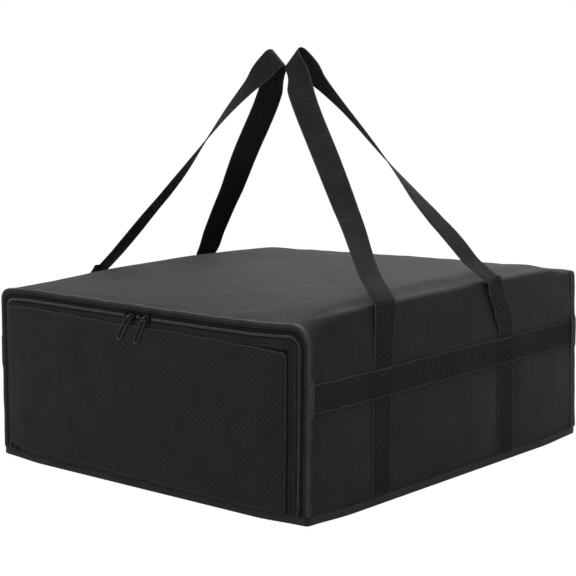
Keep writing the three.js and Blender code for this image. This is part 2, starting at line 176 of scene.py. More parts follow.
def only(*pieces):
    """Selects these objects alone and makes the first one active."""
    bpy.ops.object.select_all(action="DESELECT")
    for piece in pieces:
        piece.select_set(True)
    bpy.context.view_layer.objects.active = pieces[0]


def coords(piece):
    flat = np.zeros(len(piece.data.vertices) * 3)
    piece.data.vertices.foreach_get("co", flat)
    return flat.reshape(-1, 3)


def place(piece, *columns):
    """Moves a piece's vertices to new places, given as an array or as its x, y and z."""
    points = columns[0] if len(columns) == 1 else np.stack(columns, axis=1)
    piece.data.vertices.foreach_set("co", np.asarray(points, float).ravel())
    piece.data.update()


def smoothstep(low, high, value):
    share = np.clip((value - low) / (high - low), 0, 1)
    return share * share * (3 - 2 * share)


def direction(x, y, z, count):
    """The same direction for each of a number of places."""
    return np.tile([float(x), float(y), float(z)], (count, 1))


def runs_of(points):
    """How far along a line each of its points lies."""
    return np.r_[0, np.cumsum(np.linalg.norm(np.diff(points, axis=0), axis=1))]


def write_uv(piece, across, along):
    """Gives each corner its place on the flat cloth, in metres."""
    corners = np.zeros(len(piece.data.loops), int)
    piece.data.loops.foreach_get("vertex_index", corners)
    layer = piece.data.uv_layers.active or piece.data.uv_layers.new()
    layer.name = "cloth"
    layer.data.foreach_set("uv", np.stack([across[corners], along[corners]], axis=1).ravel())


def named(piece, name):
    piece.name = name
    piece.data.name = name
    return piece


def apply_place(piece):
    only(piece)
    bpy.ops.object.transform_apply(location=True, rotation=True, scale=True)


def new_shape(name, add, **values):
    """A new primitive, with its place, turn and size applied."""
    bpy.ops.object.select_all(action="DESELECT")
    add(**values)
    piece = named(bpy.context.active_object, name)
    apply_place(piece)
    return piece


def new_sheet(name, steps, rows):
    """A flat grid, with each vertex's share of the way along it and over it."""
    piece = new_shape(name, bpy.ops.mesh.primitive_grid_add, size=1, x_subdivisions=steps,
                      y_subdivisions=rows)
    shares = coords(piece) + 0.5
    return piece, shares[:, 0], shares[:, 1]


def new_box(name, low, high):
    return new_shape(name, bpy.ops.mesh.primitive_cube_add, size=1, location=(low + high) / 2,
                     scale=high - low)


def face_out(piece, outward):
    """Turns a sheet over if its faces look against the directions given for its vertices."""
    normals = np.zeros(len(piece.data.vertices) * 3)
    piece.data.vertices.foreach_get("normal", normals)
    if (normals.reshape(-1, 3) * outward).sum() < 0:
        piece.data.flip_normals()


def edit(piece, *steps):
    """Runs edit-mode steps, each on the whole of a piece."""
    only(piece)
    bpy.ops.object.mode_set(mode="EDIT")
    for step, values in steps:
        bpy.ops.mesh.select_all(action="SELECT")
        step(**values)
    bpy.ops.object.mode_set(mode="OBJECT")


SEAM_GAP = 0.00002


def merge(piece, gap=SEAM_GAP):
    edit(piece, (bpy.ops.mesh.remove_doubles, {"threshold": gap}))


def close_up(piece):
    """Merges a mesh's seam, caps its open ends and turns its faces outwards."""
    edit(piece, (bpy.ops.mesh.remove_doubles, {"threshold": SEAM_GAP}),
         (bpy.ops.mesh.fill_holes, {"sides": 0}),
         (bpy.ops.mesh.normals_make_consistent, {"inside": False}))


def apply_modifier(piece, kind, **values):
    only(piece)
    modifier = piece.modifiers.new(kind.title(), kind)
    for key, value in values.items():
        setattr(modifier, key, value)
    bpy.ops.object.modifier_apply(modifier=modifier.name)


def thicken(piece, thickness):
    apply_modifier(piece, "SOLIDIFY", thickness=thickness, offset=-1.0, use_even_offset=True)


def subdivide(piece):
    apply_modifier(piece, "SUBSURF", levels=1, render_levels=1, boundary_smooth="PRESERVE_CORNERS")


def cloud(piece, size, strength, depth=2, group=""):
    """Gentle waves in a soft surface, from a fixed cloud pattern, where the group lets them be."""
    texture = bpy.data.textures.new(piece.name + "_waves", "CLOUDS")
    texture.noise_scale = size
    texture.noise_depth = depth
    apply_modifier(piece, "DISPLACE", texture=texture, strength=strength, mid_level=0.5,
                   texture_coords="LOCAL", vertex_group=group)
    piece.vertex_groups.clear()


def weigh(piece, name, weights):
    """A vertex group whose weights are rounded to twentieths, so that few calls fill it."""
    group = piece.vertex_groups.new(name=name)
    levels = np.round(weights * 20) / 20
    for level in np.unique(levels):
        group.add(np.nonzero(levels == level)[0].tolist(), float(level), "REPLACE")
    return group


CLOTH_FRAMES = 20


def swell(piece, held, cap):
    """Blows a padded cloth up a little: held is how firmly each vertex stays, cap how far it may go."""
    start = coords(piece)
    group = weigh(piece, "held", held)
    only(piece)
    modifier = piece.modifiers.new("Cloth", "CLOTH")
    settings = modifier.settings
    settings.vertex_group_mass = group.name
    settings.quality = 5
    settings.mass = 0.3
    settings.tension_stiffness = 15
    settings.compression_stiffness = 15
    settings.shear_stiffness = 5
    settings.bending_stiffness = 2
    settings.use_pressure = True
    settings.uniform_pressure_force = 4
    settings.effector_weights.gravity = 0
    modifier.point_cache.frame_end = CLOTH_FRAMES
    scene = bpy.context.scene
    for step in range(1, CLOTH_FRAMES + 1):
        scene.frame_set(step)
    bpy.ops.object.modifier_apply(modifier="Cloth")
    scene.frame_set(1)
    moved = coords(piece) - start
    keep = np.minimum(1, cap / np.maximum(np.linalg.norm(moved, axis=1), 1e-9))
    place(piece, start + moved * keep[:, None])
    piece.vertex_groups.clear()


def soften(piece, held, room, size, strength):
    """Blows a padded face up, lets gentle waves into its free part and makes it finer."""
    swell(piece, held, room)
    weigh(piece, "loose", 1 - held)
    cloud(piece, size, strength, group="loose")
    subdivide(piece)


# The soft bag's posture

def tighten(points):
    """The fold over each side is wide at the front rim, less so on the left, and tight further back."""
    out = points.copy()
    x, y, z = points.T
    at_front = np.where(x < 0, LEFT_FRONT_FOLD, FOLD)
    radius = at_front + (BACK_FOLD - at_front) * smoothstep(*FOLD_TIGHTENS, y)
    over, above = np.abs(x) - (SIDE - FOLD), z - (TOP - FOLD)
    reach = np.hypot(over, above)
    folded = (over > 0) & (above > 0)
    along = np.where(folded, over / np.maximum(reach, 1e-9), 1)
    up = np.where(folded, above / np.maximum(reach, 1e-9), 0)
    side = FOLD - radius
    toward = side * (along + up)
    corner = toward + np.sqrt(np.maximum(toward ** 2 - 2 * side ** 2 + radius ** 2, 0))
    flat = FOLD / np.maximum(np.maximum(along, up), 1e-9)
    lower = np.minimum(along, up) * flat <= side
    push = (np.where(lower, flat, corner) - FOLD) * np.clip(reach / FOLD, 0, 1) ** 2 * folded
    out[:, 0] += np.sign(x) * along * push
    out[:, 2] += up * push
    return out


# How far the front rim and the back rim stand above or below a straight line, at places along X
RIM_X = (-0.305, -0.265, -0.235, -0.175, -0.12, -0.04, 0.01, 0.115, 0.21, 0.26, 0.305)
FRONT_RIM = (0.0016, 0.0036, 0.0042, 0.0032, 0.002, 0.0006, -0.0008, -0.0026, -0.0036, -0.002, 0)
BACK_RIM = (0, 0.0028, 0.0036, 0.004, 0.004, 0.0042, 0.0045, 0.0038, 0.0014, 0.0008, 0)
# How far the right and the left fold stand above the flat top
RIGHT_FOLD_LIFT, LEFT_FOLD_LIFT = 0.0075, 0.0055
CORNER_REACH = 0.09
# From where to where each part of the posture sets in or fades: up the wall, along Y, and outwards
UPPER_WALL, LOOPS_FREE = (TOP - 0.085, TOP - 0.006), (TOP + 0.02, TOP + 0.12)
FRONT_RIM_ENDS, BACK_RIM_BEGINS = (FRONT + 0.01, FRONT + 0.16), (BACK - 0.2, BACK)
RIGHT_FOLD_BEGINS, LEFT_FOLD_BEGINS = (FRONT + 0.006, FRONT + 0.09), (FRONT + 0.04, FRONT + 0.2)
FOLDS_END = (BACK - 0.07, BACK - 0.006)
TOWARDS_SIDES = (0.13, 0.285)


def stand(points):
    """The soft bag's own posture: its rims sag and rise, its folds stand up between them, its front
    leans and its base's corners stand off the table."""
    shape = bpy.context.scene.bag_shape
    out = points.copy()
    x, y, z = points.T
    near_top = smoothstep(*UPPER_WALL, z)
    front_rim = np.interp(x, RIM_X, FRONT_RIM) * (1 - smoothstep(*FRONT_RIM_ENDS, y))
    back_rim = np.interp(x, RIM_X, BACK_RIM) * smoothstep(*BACK_RIM_BEGINS, y)
    out[:, 2] += near_top * (z < TOP + 0.03) * (front_rim + back_rim)
    behind_rim = np.where(x > 0, smoothstep(*RIGHT_FOLD_BEGINS, y), smoothstep(*LEFT_FOLD_BEGINS, y))
    between_rims = behind_rim * (1 - smoothstep(*FOLDS_END, y))
    raised = near_top * (1 - smoothstep(*LOOPS_FREE, z)) * smoothstep(*TOWARDS_SIDES, np.abs(x))
    out[:, 2] += np.where(x > 0, RIGHT_FOLD_LIFT, LEFT_FOLD_LIFT) * between_rims * raised
    front_share = np.clip((BACK - y) / (BACK - FRONT), 0, 1)
    height = np.clip(z / TOP, 0, 1) * 2 - 1
    out[:, 0] += shape.lean * front_share * height * (1 - smoothstep(TOP, TOP * 1.8, z))
    corner = np.hypot(np.clip(SIDE - np.abs(x), 0, 1), np.clip(HALF_DEPTH - np.abs(y - MIDDLE), 0, 1))
    lift = 1 - smoothstep(0, CORNER_REACH, corner)
    out[:, 2] += shape.corner_lift * lift * np.clip(1 - z / TOP, 0, 1)
    return out


def settle(piece):
    place(piece, stand(tighten(coords(piece))))


def finish_piece(piece, body, material, replaced=(), settled=True, angle=None):
    """Smooths, dresses and mounts a finished piece."""
    if settled:
        settle(piece)
    only(piece)
    if angle is None:
        bpy.ops.object.shade_smooth()
    else:
        bpy.ops.object.shade_smooth_by_angle(angle=math.radians(angle))
    piece.data.materials.clear()
    piece.data.materials.append(material)
    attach(piece, body)
    if replaced:
        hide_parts(*replaced)


# The bag's outline

def arch(way, inset, foot):
    """Places on the front outline: way runs from 0 at the left foot over the top to 1 at the right foot."""
    radius = np.maximum(FOLD - inset, INNER_FOLD)
    shoulder = TOP - inset - radius
    leg = TOP - FOLD - foot
    turn = FOLD * math.pi / 2
    flat = 2 * (SIDE - FOLD)
    total = 2 * (leg + turn) + flat
    run = way * total
    rise = np.clip(np.minimum(run, total - run) / leg, 0, 1)
    turned = np.clip((run - leg) / turn, 0, 1) + np.clip((run - leg - turn - flat) / turn, 0, 1)
    heading = math.pi - turned * math.pi / 2
    across = np.clip((run - leg - turn) / flat, 0, 1) * 2 - 1
    x = across * (SIDE - inset - radius) + radius * np.cos(heading)
    z = foot + rise * (shoulder - foot) + radius * np.sin(heading)
    return x, z, np.cos(heading), np.sin(heading), total


def ring(way, inset):
    """Places round the base, inset by some distance: way runs once round from the front's left corner."""
    half = [(RING_HIGH.x - RING_LOW.x) / 2, (RING_HIGH.y - RING_LOW.y) / 2]
    bend_radius = np.maximum(RING_CORNER - inset, 0.0008)
    sides = 2 * np.array([half[0], half[1], half[0], half[1]]) - 2 * RING_CORNER
    ends = np.cumsum(np.stack([sides, np.full(4, RING_CORNER * math.pi / 2)], axis=1).ravel())
    run = way * ends[-1]
    part = np.minimum(np.searchsorted(ends, run, side="left"), 7)
    begin = np.r_[0, ends][part]
    share = (run - begin) / (ends[part] - begin)
    bent = part % 2 == 1
    quarter = part // 2
    outward = (quarter - 1) * math.pi / 2
    heading = outward + np.where(bent, share, 0) * math.pi / 2
    reach_out = np.where(quarter % 2 == 0, half[1], half[0]) - inset - bend_radius
    reach_along = np.where(quarter % 2 == 0, half[0], half[1]) - inset - bend_radius
    slide = np.where(bent, 1, share * 2 - 1) * reach_along
    x = np.cos(outward) * reach_out - np.sin(outward) * slide + bend_radius * np.cos(heading)
    y = np.sin(outward) * reach_out + np.cos(outward) * slide + bend_radius * np.sin(heading)
    return x, y + (RING_LOW.y + RING_HIGH.y) / 2, np.cos(heading), np.sin(heading), ends[-1]


def profile_at(profile, over):
    """Points between a profile's corners, by share of its length."""
    points = np.asarray(profile, float)
    runs = runs_of(points)
    spots = over * runs[-1]
    return np.interp(spots, runs, points[:, 0]), np.interp(spots, runs, points[:, 1]), runs[-1]


def quadratic(start, corner, end, steps):
    """A curve from start to end that leaves and arrives in line with the corner."""
    share = np.linspace(0, 1, steps)[:, None]
    start, corner, end = (np.asarray(point, float) for point in (start, corner, end))
    return (1 - share) ** 2 * start + 2 * share * (1 - share) * corner + share ** 2 * end


def bend(before, corner, after, radius, steps=5):
    """A rounded corner between two straight runs of a profile."""
    a, b, c = (np.asarray(point, float) for point in (before, corner, after))
    start = b + (a - b) / np.linalg.norm(a - b) * radius
    end = b + (c - b) / np.linalg.norm(c - b) * radius
    return [tuple(point) for point in quadratic(start, b, end, steps + 1)]


def rounded_profile(first, corner, last, radius):
    return [first, *bend(first, corner, last, radius), last]


def arch_piece(name, profile, steps, rows, foot, front=0, bulge=None):
    """A sheet swept round the arch. The profile's corners are (inset, y), and it looks outwards."""
    piece, way, over = new_sheet(name, steps, rows)
    inset, y, width = profile_at(profile, over)
    x, z, out_x, out_z, total = arch(way, inset, foot)
    if bulge is not None:
        swollen = bulge(x, y, z)
        x = x + out_x * swollen
        z = z + out_z * swollen
    place(piece, x, y, z)
    write_uv(piece, over * width, way * total)
    face_out(piece, np.stack([out_x, front + 0 * x, out_z], axis=1))
    return piece


def fold_top(inset):
    """The height of the outline at each x, for a panel inset by some distance."""
    radius = max(FOLD - inset, INNER_FOLD)
    straight = SIDE - inset - radius

    def top_at(x):
        past = np.clip(np.abs(x) - straight, 0, radius)
        return TOP - inset - radius + np.sqrt(radius ** 2 - past ** 2)
    return top_at


def back_sheet(name, half, foot, inset, y, steps, rows):
    """A flat sheet that stands across the bag and looks backwards."""
    piece, across, up = new_sheet(name, steps, rows)
    x = (across * 2 - 1) * half
    z = foot + up * (fold_top(inset)(x) - foot)
    place(piece, x, np.full_like(x, y), z)
    write_uv(piece, x, z)
    face_out(piece, direction(0, 1, 0, len(x)))
    return piece


def level_sheet(name, node, z, steps):
    """A flat sheet over the whole of a node's outline."""
    low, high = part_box(node)
    piece, across, along = new_sheet(name, steps, steps)
    x, y = low.x + across * (high.x - low.x), low.y + along * (high.y - low.y)
    place(piece, x, y, np.full_like(x, z))
    write_uv(piece, x, y)
    return piece


def beside_straps(y):
    """How far a place along a side is from the nearest strap's edge."""
    return np.minimum.reduce([np.abs(y - middle) - WEB / 2 for middle in STRAP_Y])


def crown(x, y, z):
    """How far the padded wall stands out from its flat shape: most on the top, a little on the sides."""
    shape = bpy.context.scene.bag_shape
    deep = np.clip((y - MIDDLE) / HALF_DEPTH, -1, 1)
    along = (1 - deep ** 2) ** 0.9 * (1 + 0.3 * deep)
    turned = np.arctan2(z - (TOP - FOLD), np.maximum(np.abs(x) - (SIDE - FOLD), 0))
    on_top = np.sin(np.clip(turned, 0, math.pi / 2)) ** 0.6
    upper = smoothstep(BAND_HIGH.z + 0.004, TOP - FOLD, z) * (1 - on_top)
    edges = [WALL_LOW.y, *[middle + side * WEB / 2 for middle in STRAP_Y for side in (-1, 1)], WALL_HIGH.y]
    swollen = np.zeros_like(deep)
    for low, top in zip(edges[::2], edges[1::2]):
        share = np.clip((y - low) / (top - low), 0, 1)
        swollen = swollen + np.sin(math.pi * share) ** 0.8 * min(1, (top - low) / 0.16)
    high = np.clip((z - BASE_HEIGHT) / (BAND_LOW.z - BASE_HEIGHT), 0, 1)
    side = swollen * np.sin(math.pi * high) ** 0.8 * (z < BAND_LOW.z)
    return shape.top_crown * along * on_top + shape.side_crown * (side + 1.1 * along * upper)


def swelling(points):
    """Where the wall's swelling moves the places on it."""
    x, y, z = points.T
    over, above = np.maximum(np.abs(x) - (SIDE - FOLD), 0), np.maximum(z - (TOP - FOLD), 0)
    turned = np.arctan2(above, over)
    amount = crown(x, y, z)
    return np.stack([np.sign(x) * np.cos(turned) * amount, 0 * x, np.sin(turned) * amount], axis=1)


# Thread and teeth: one is modelled, and the rest are laid along a line

def scatter(name, unit, spots, along, outward):
    """Copies of a small piece at each spot, its X along the line and its Z outwards, as one piece."""
    points = coords(unit)
    faces = [tuple(face.vertices) for face in unit.data.polygons]
    axes = np.stack([along, np.cross(outward, along), outward], axis=1)
    placed = np.einsum("vi,sij->svj", points, axes) + spots[:, None, :]
    count = len(points)
    copies = [tuple(corner + start for corner in face)
              for start in range(0, count * len(spots), count) for face in faces]
    mesh = bpy.data.meshes.new(name)
    mesh.from_pydata(placed.reshape(-1, 3).tolist(), [], copies)
    mesh.update()
    piece = bpy.data.objects.new(name, mesh)
    bpy.context.scene.collection.objects.link(piece)
    bpy.data.objects.remove(unit)
    return piece


def new_bead(*size):
    """A stretched bead that lies along X: a stitch, or one turn of a zip's coil."""
    piece = new_shape("bead", bpy.ops.mesh.primitive_uv_sphere_add, segments=6, ring_count=4, radius=0.5,
                      rotation=(0, math.pi / 2, 0))
    bpy.ops.transform.resize(value=size)
    apply_place(piece)
    return piece


def line_spots(points, outward, pitch):
    """Evenly spaced places along a line, with the line's direction and the outward one at each."""
    runs = runs_of(points)
    count = max(int(round(runs[-1] / pitch)), 1)
    spots = (np.arange(count) + 0.5) * runs[-1] / count

    def along_line(values, runs_at):
        return np.stack([np.interp(runs_at, runs, values[:, axis]) for axis in range(3)], axis=1)

    at = along_line(points, spots)
    along = along_line(points, spots + pitch / 4) - along_line(points, spots - pitch / 4)
    along /= np.linalg.norm(along, axis=1)[:, None]
    up = along_line(outward, spots)
    up -= along * (up * along).sum(axis=1)[:, None]
    up /= np.linalg.norm(up, axis=1)[:, None]
    return at, along, up


def arch_line(inset, y, foot, front=0, samples=700):
    """A line round the arch. With front at -1 or 1 its outward side is the bag's front or back."""
    way = np.linspace(0, 1, samples)
    x, z, out_x, out_z, _ = arch(way, inset + 0 * way, foot)
    outward = direction(0, front, 0, samples) if front else np.stack([out_x, 0 * x, out_z], axis=1)
    return np.stack([x, np.full(samples, y), z], axis=1), outward


def ring_line(inset, z):
    """A line round the base."""
    way = np.linspace(0, 1, 1400)
    x, y, out_x, out_y, _ = ring(way, inset + 0 * way)
    return np.stack([x, y, np.full_like(x, z)], axis=1), np.stack([out_x, out_y, 0 * x], axis=1)


def side_line(start, end, out, sign):
    """A straight line on the right or left side, between two (y, z) places."""
    return np.array([[sign * out, *start], [sign * out, *end]], float), direction(sign, 0, 0, 2)


def sew(name, lines, body, pitch=None, thick=0.0007, replaced=()):
    """A seam of thread along some lines."""
    pitch = pitch or bpy.context.scene.bag_shape.stitch_pitch
    found = [line_spots(points, outward, pitch) for points, outward in lines]
    spots, along, outward = (np.concatenate([line[index] for line in found]) for index in range(3))
    piece = scatter(name, new_bead(pitch * 0.78, thick, thick), spots, along, outward)
    finish_piece(piece, body, thread(), replaced)


# Webbing

def webbing_section():
    """The cross-section of the webbing: a thin flat band with rounded edges, as (across, out) places."""
    half, thick = WEB / 2, WEB_THICK / 2
    edge = [(half - back, out) for back, out in
            ((0.0007, 1.0), (0.0002, 0.7), (0, 0.0), (0.0002, -0.7), (0.0007, -1.0))]
    outer = [(share * half, 1.0) for share in (-0.66, -0.33, 0.0, 0.33, 0.66)]
    inner = [(-across, -1.0) for across, _ in outer]
    other = [(-across, -out) for across, out in edge]
    return np.array([(across, out * thick) for across, out in [*outer, *edge, *inner, *other, outer[0]]])


def ribbon(name, points, outward, across):
    """A length of webbing through the given middle points."""
    section = webbing_section()
    steps, rows = len(points) - 1, len(section) - 1
    piece, way, over = new_sheet(name, steps, rows)
    step = np.round(way * steps).astype(int)
    row = np.round(over * rows).astype(int)
    wide, out = section[row, 0], section[row, 1]
    place(piece, points[step] + across[step] * wide[:, None] + outward[step] * out[:, None])
    write_uv(piece, wide, runs_of(points)[step])
    close_up(piece)
    return piece


# Materials

class Nodes:
    """Short ways to add nodes to a tree and join them up."""

    def __init__(self, tree):
        self.tree = tree

    def feed(self, socket, value):
        """Gives an input another node's output, or a value of its own."""
        if isinstance(value, bpy.types.NodeSocket):
            self.tree.links.new(value, socket)
        else:
            socket.default_value = value

    def add(self, kind, inputs=(), output=0, **settings):
        """A new node with its settings and inputs, by its output."""
        node = self.tree.nodes.new("ShaderNode" + kind)
        for key, value in settings.items():
            setattr(node, key, value)
        for key, value in dict(inputs).items():
            self.feed(node.inputs[key], value)
        return node.outputs[output]

    def reckon(self, operation, first, second=0):
        return self.add("Math", {0: first, 1: second}, operation=operation)

    def stretch(self, value, low, high, to_low, to_high):
        return self.add("MapRange", {"Value": value, "From Min": low, "From Max": high,
                                     "To Min": to_low, "To Max": to_high})


class Finish(Nodes):
    """A new material, whose patterns lie on the cloth's own map in metres or on the bag."""

    def __init__(self, name, on_cloth=False, mirror=1):
        self.material = bpy.data.materials.new(name)
        self.material.use_nodes = True
        super().__init__(self.material.node_tree)
        self.shader = self.tree.nodes["Principled BSDF"]
        where = self.add("UVMap", uv_map="cloth") if on_cloth else self.add("TexCoord", output="Object")
        self.place = self.add("Mapping", {"Vector": where, "Scale": (mirror, 1, 1)})

    def give(self, **inputs):
        """Sets the shader's inputs, their names written with _ for a space."""
        for name, value in inputs.items():
            self.feed(self.shader.inputs[name.replace("_", " ")], value)
        return self

    def threads(self, period, heading, wobble):
        """Parallel threads, one every period metres."""
        inputs = {"Vector": self.place, "Scale": WAVE_SCALE / period, "Distortion": wobble,
                  "Detail Scale": 0.4}
        return self.add("TexWave", inputs, "Fac", wave_type="BANDS", bands_direction=heading)

    def speckle(self, size, detail=3.0, roughness=0.55):
        """Uneven patches of about the given size in metres."""
        return self.add("TexNoise", {"Vector": self.place, "Scale": 1 / size, "Detail": detail,
                                     "Roughness": roughness}, "Fac")

    def shade(self, factor, dark, light):
        """A colour between two, by a pattern."""
        ramp = self.tree.nodes.new("ShaderNodeValToRGB")
        for element, tone in zip(ramp.color_ramp.elements, (dark, light)):
            element.color = (*tone, 1)
        self.feed(ramp.inputs["Fac"], factor)
        return ramp.outputs["Color"]

    def raise_up(self, height, distance, strength, below=None):
        """A bump from a pattern, on top of another one where given."""
        inputs = {"Height": height, "Distance": distance, "Strength": strength}
        return self.add("Bump", inputs if below is None else {**inputs, "Normal": below})

    def tint(self, amount):
        """Multiplies the colour by a pattern."""
        before = self.shader.inputs["Base Color"].links[0].from_socket
        self.give(Base_Color=self.add("VectorMath", {0: before, 1: amount}, operation="MULTIPLY"))

    def across(self):
        return self.add("SeparateXYZ", {"Vector": self.place})

    def fade_in(self, start, end):
        """Paints shade across a tape's width beside a seam: most at start, not at all at end."""
        self.tint(self.stretch(self.across(), start, end, SEAM_SHADE, 1.0))

    def stripe(self, middle, half, share):
        """Makes one stripe along a tape lighter or darker: a painted highlight along an edge or a fold, or
        painted shade in a seam's groove.
        """
        aside = self.reckon("ABSOLUTE", self.reckon("SUBTRACT", self.across(), middle))
        self.tint(self.stretch(aside, half, half + 0.0006, share, 1.0))


def scaled(tone, share):
    return tuple(channel * share for channel in tone)


def finish_of(name, share=1):
    return scaled(getattr(bpy.context.scene.bag_finish, name), share)


def kept(name):
    """Makes a material the first time that it is asked for, and finds it after that."""
    def wrap(make):
        return lambda: bpy.data.materials.get(name) or make(name).material
    return wrap


def cloth(name, tone, period, ribs=None, twill=None, roughness=0.74, sheen=0.16, gloss=0.05, coarse=0.0016,
          wrinkle=0.0011, weave_depth=0.0002, mirror=1):
    """Woven cloth: crossing threads or ribs, a twill, uneven dye, soft wrinkles and a faint sheen."""
    finish = Finish(name, on_cloth=True, mirror=mirror)
    reckon = finish.reckon
    warp = finish.threads(period, "X", 0.6)
    weft = finish.threads(ribs or period, "Y", 0.6)
    weave = reckon("ADD", reckon("MULTIPLY", warp, 0.35), weft) if ribs else reckon("MULTIPLY", warp, weft)
    if twill:
        lines = finish.threads(twill, "DIAGONAL", 1.2)
        weave = reckon("ADD", reckon("MULTIPLY", weave, 0.4), reckon("MULTIPLY", lines, 0.6))
    grain = finish.speckle(coarse)
    pattern = reckon("MULTIPLY", weave, 0.1 if twill else 0.3)
    blotches, dye = finish.speckle(0.0045, 2.0), finish.speckle(0.05, 4.0)
    for part, share in ((grain, 0.45), (blotches, 0.25), (dye, 0.25)):
        pattern = reckon("ADD", pattern, reckon("MULTIPLY", part, share))
    middle = 0.525 if twill else 0.675 if ribs else 0.575
    contrast = finish.stretch(pattern, middle - 0.27, middle + 0.27, 0, 1)
    folds = finish.raise_up(finish.speckle(0.035, 3.0), wrinkle, 0.5)
    woven = finish.raise_up(weave, weave_depth, 0.6, folds)
    return finish.give(
        Base_Color=finish.shade(contrast, (0, 0, 0), scaled(tone, 2)),
        Normal=finish.raise_up(grain, 0.0003, 0.35, woven),
        Roughness=finish.stretch(pattern, 0.2, 1.0, roughness + 0.06, roughness - 0.08),
        Sheen_Weight=sheen, Sheen_Roughness=0.45, Specular_IOR_Level=gloss)


@kept("bag_oxford")
def oxford(name):
    return cloth(name, finish_of("oxford"), OXFORD_THREAD, twill=OXFORD_TWILL, weave_depth=0.0001)


@kept("bag_oxford_flap")
def flap_oxford(name):
    return cloth(name, finish_of("oxford"), OXFORD_THREAD, twill=OXFORD_TWILL, wrinkle=0.0014,
                 weave_depth=0.0001, mirror=-1)


@kept("bag_flap_hem")
def flap_hem(name):
    # Painted highlight: the hem is 2.4 times as light as the oxford, so that a light line runs round the
    # flap's edge
    return cloth(name, finish_of("oxford", 2.4), TAPE_THREAD, roughness=0.6, gloss=0.12, wrinkle=0.0003,
                 **TAPE_LOOK)


@kept("bag_binding")
def binding_tape(name):
    return cloth(name, finish_of("binding"), TAPE_THREAD, ribs=TAPE_RIBS, roughness=0.6, gloss=0.08,
                 wrinkle=0.0006, **TAPE_LOOK)


@kept("bag_front_binding")
def rim_tape(name):
    """The front rim's tape, with a painted highlight along its outer fold and painted shade beside its seam.
    """
    low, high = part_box("front_rim_binding")
    width = high.y - low.y + RIM_FACE
    finish = cloth(name, finish_of("binding", 0.95), TAPE_THREAD, ribs=TAPE_RIBS, roughness=0.55, gloss=0.1,
                   wrinkle=0.0006, **TAPE_LOOK)
    # Painted highlight: 2.2 times as light along the outer fold
    finish.stripe(width - RIM_FOLD_LINE, 0.0005, 2.2)
    # Painted shade: 0.15 as dark beside the seam
    finish.stripe(width - RIM_SEAM_LINE, 0.0006, 0.15)
    return finish


def zip_cloth(name, painted_shade_share, *shaded):
    """Zip tape in a darker share of the binding's colour as painted shade, with more painted shade across
    its width beside each seam.
    """
    finish = cloth(name, finish_of("binding", painted_shade_share), 0.0007, ribs=0.001, coarse=0.001,
                   roughness=0.7, sheen=0.05, gloss=0.06, wrinkle=0.0003)
    for start, end in shaded:
        finish.fade_in(start, end)
    return finish.material


@kept("bag_webbing")
def strap_web(name):
    """Ribbed webbing with a painted highlight along each edge."""
    finish = cloth(name, finish_of("webbing"), 0.0019, ribs=0.0028, coarse=0.0013, roughness=0.66,
                   sheen=0.0, gloss=0.03, wrinkle=0.0004, weave_depth=0.0005)
    # Painted highlight: a stripe 2.4 times as light along each edge
    for edge in (-1, 1):
        finish.stripe(edge * WEB / 2, 0.0014, 2.4)
    return finish


@kept("bag_thread")
def thread(name):
    finish = Finish(name)
    strands = finish.speckle(0.0004)
    return finish.give(
        Base_Color=finish.shade(strands, finish_of("thread", 0.5), finish_of("thread", 1.5)),
        Normal=finish.raise_up(strands, 0.0002, 0.5), Roughness=0.8, Specular_IOR_Level=0.1)


@kept("bag_zip_coil")
def nylon_coil(name):
    finish = Finish(name)
    worn = finish.speckle(0.004)
    # The coil's colour is partly a painted highlight for the chain's bright line
    return finish.give(
        Base_Color=finish.shade(worn, finish_of("coil", 0.6), finish_of("coil", 1.5)),
        Roughness=finish.stretch(worn, 0.2, 0.8, 0.28, 0.45), Specular_IOR_Level=0.55)


@kept("bag_black_metal")
def black_metal(name):
    finish = Finish(name)
    scuffs = finish.speckle(0.0015, 5.0, 0.7)
    return finish.give(
        Base_Color=finish.shade(scuffs, finish_of("metal", 0.7), finish_of("metal", 1.8)),
        Normal=finish.raise_up(scuffs, 0.00005, 0.3),
        Roughness=finish.stretch(scuffs, 0.35, 0.8, 0.16, 0.34), Specular_IOR_Level=0.35,
        Coat_Weight=0.15, Coat_Roughness=0.08)


@kept("bag_foil")
def foil(name):
    """Crinkled foil: sharp creases over soft waves."""
    finish = Finish(name)
    creases = finish.add("TexVoronoi", {"Vector": finish.place, "Scale": 60}, "Distance",
                         feature="DISTANCE_TO_EDGE")
    soft = finish.speckle(0.02, 4.0)
    crinkled = finish.raise_up(finish.stretch(creases, 0.0, 0.25, 0.0, 1.0), 0.0006, 0.6)
    return finish.give(
        Base_Color=finish.shade(soft, finish_of("foil", 0.8), finish_of("foil", 1.1)),
        Normal=finish.raise_up(soft, 0.0015, 0.6, crinkled),
        Roughness=finish.stretch(soft, 0.2, 0.8, 0.22, 0.38), Metallic=1.0)


@kept("bag_board")
def pressed_board(name):
    finish = Finish(name)
    fibres = finish.speckle(0.003, 6.0, 0.7)
    return finish.give(
        Base_Color=finish.shade(fibres, (0.032, 0.032, 0.032), (0.055, 0.055, 0.054)),
        Normal=finish.raise_up(fibres, 0.0003, 0.5), Roughness=0.85)


@kept("studio_floor")
def studio_floor(name):
    """Pale paper that the camera sees as nearly white, so that only the bag's shadow shows on it."""
    finish = Finish(name)
    paper = finish.speckle(0.4, 2.0)
    finish.give(Base_Color=finish.shade(paper, finish_of("floor", 0.98), finish_of("floor")),
                Roughness=0.9, Specular_IOR_Level=0.1)
    glow = finish.add("Emission", {"Strength": FLOOR_GLOW})
    share = finish.reckon("MULTIPLY", finish.add("LightPath", output="Is Camera Ray"), FLOOR_GLOW_SHARE)
    mixed = finish.add("MixShader", {"Fac": share, 1: finish.shader.outputs["BSDF"], 2: glow})
    finish.feed(finish.tree.nodes["Material Output"].inputs["Surface"], mixed)
    return finish


# The studio

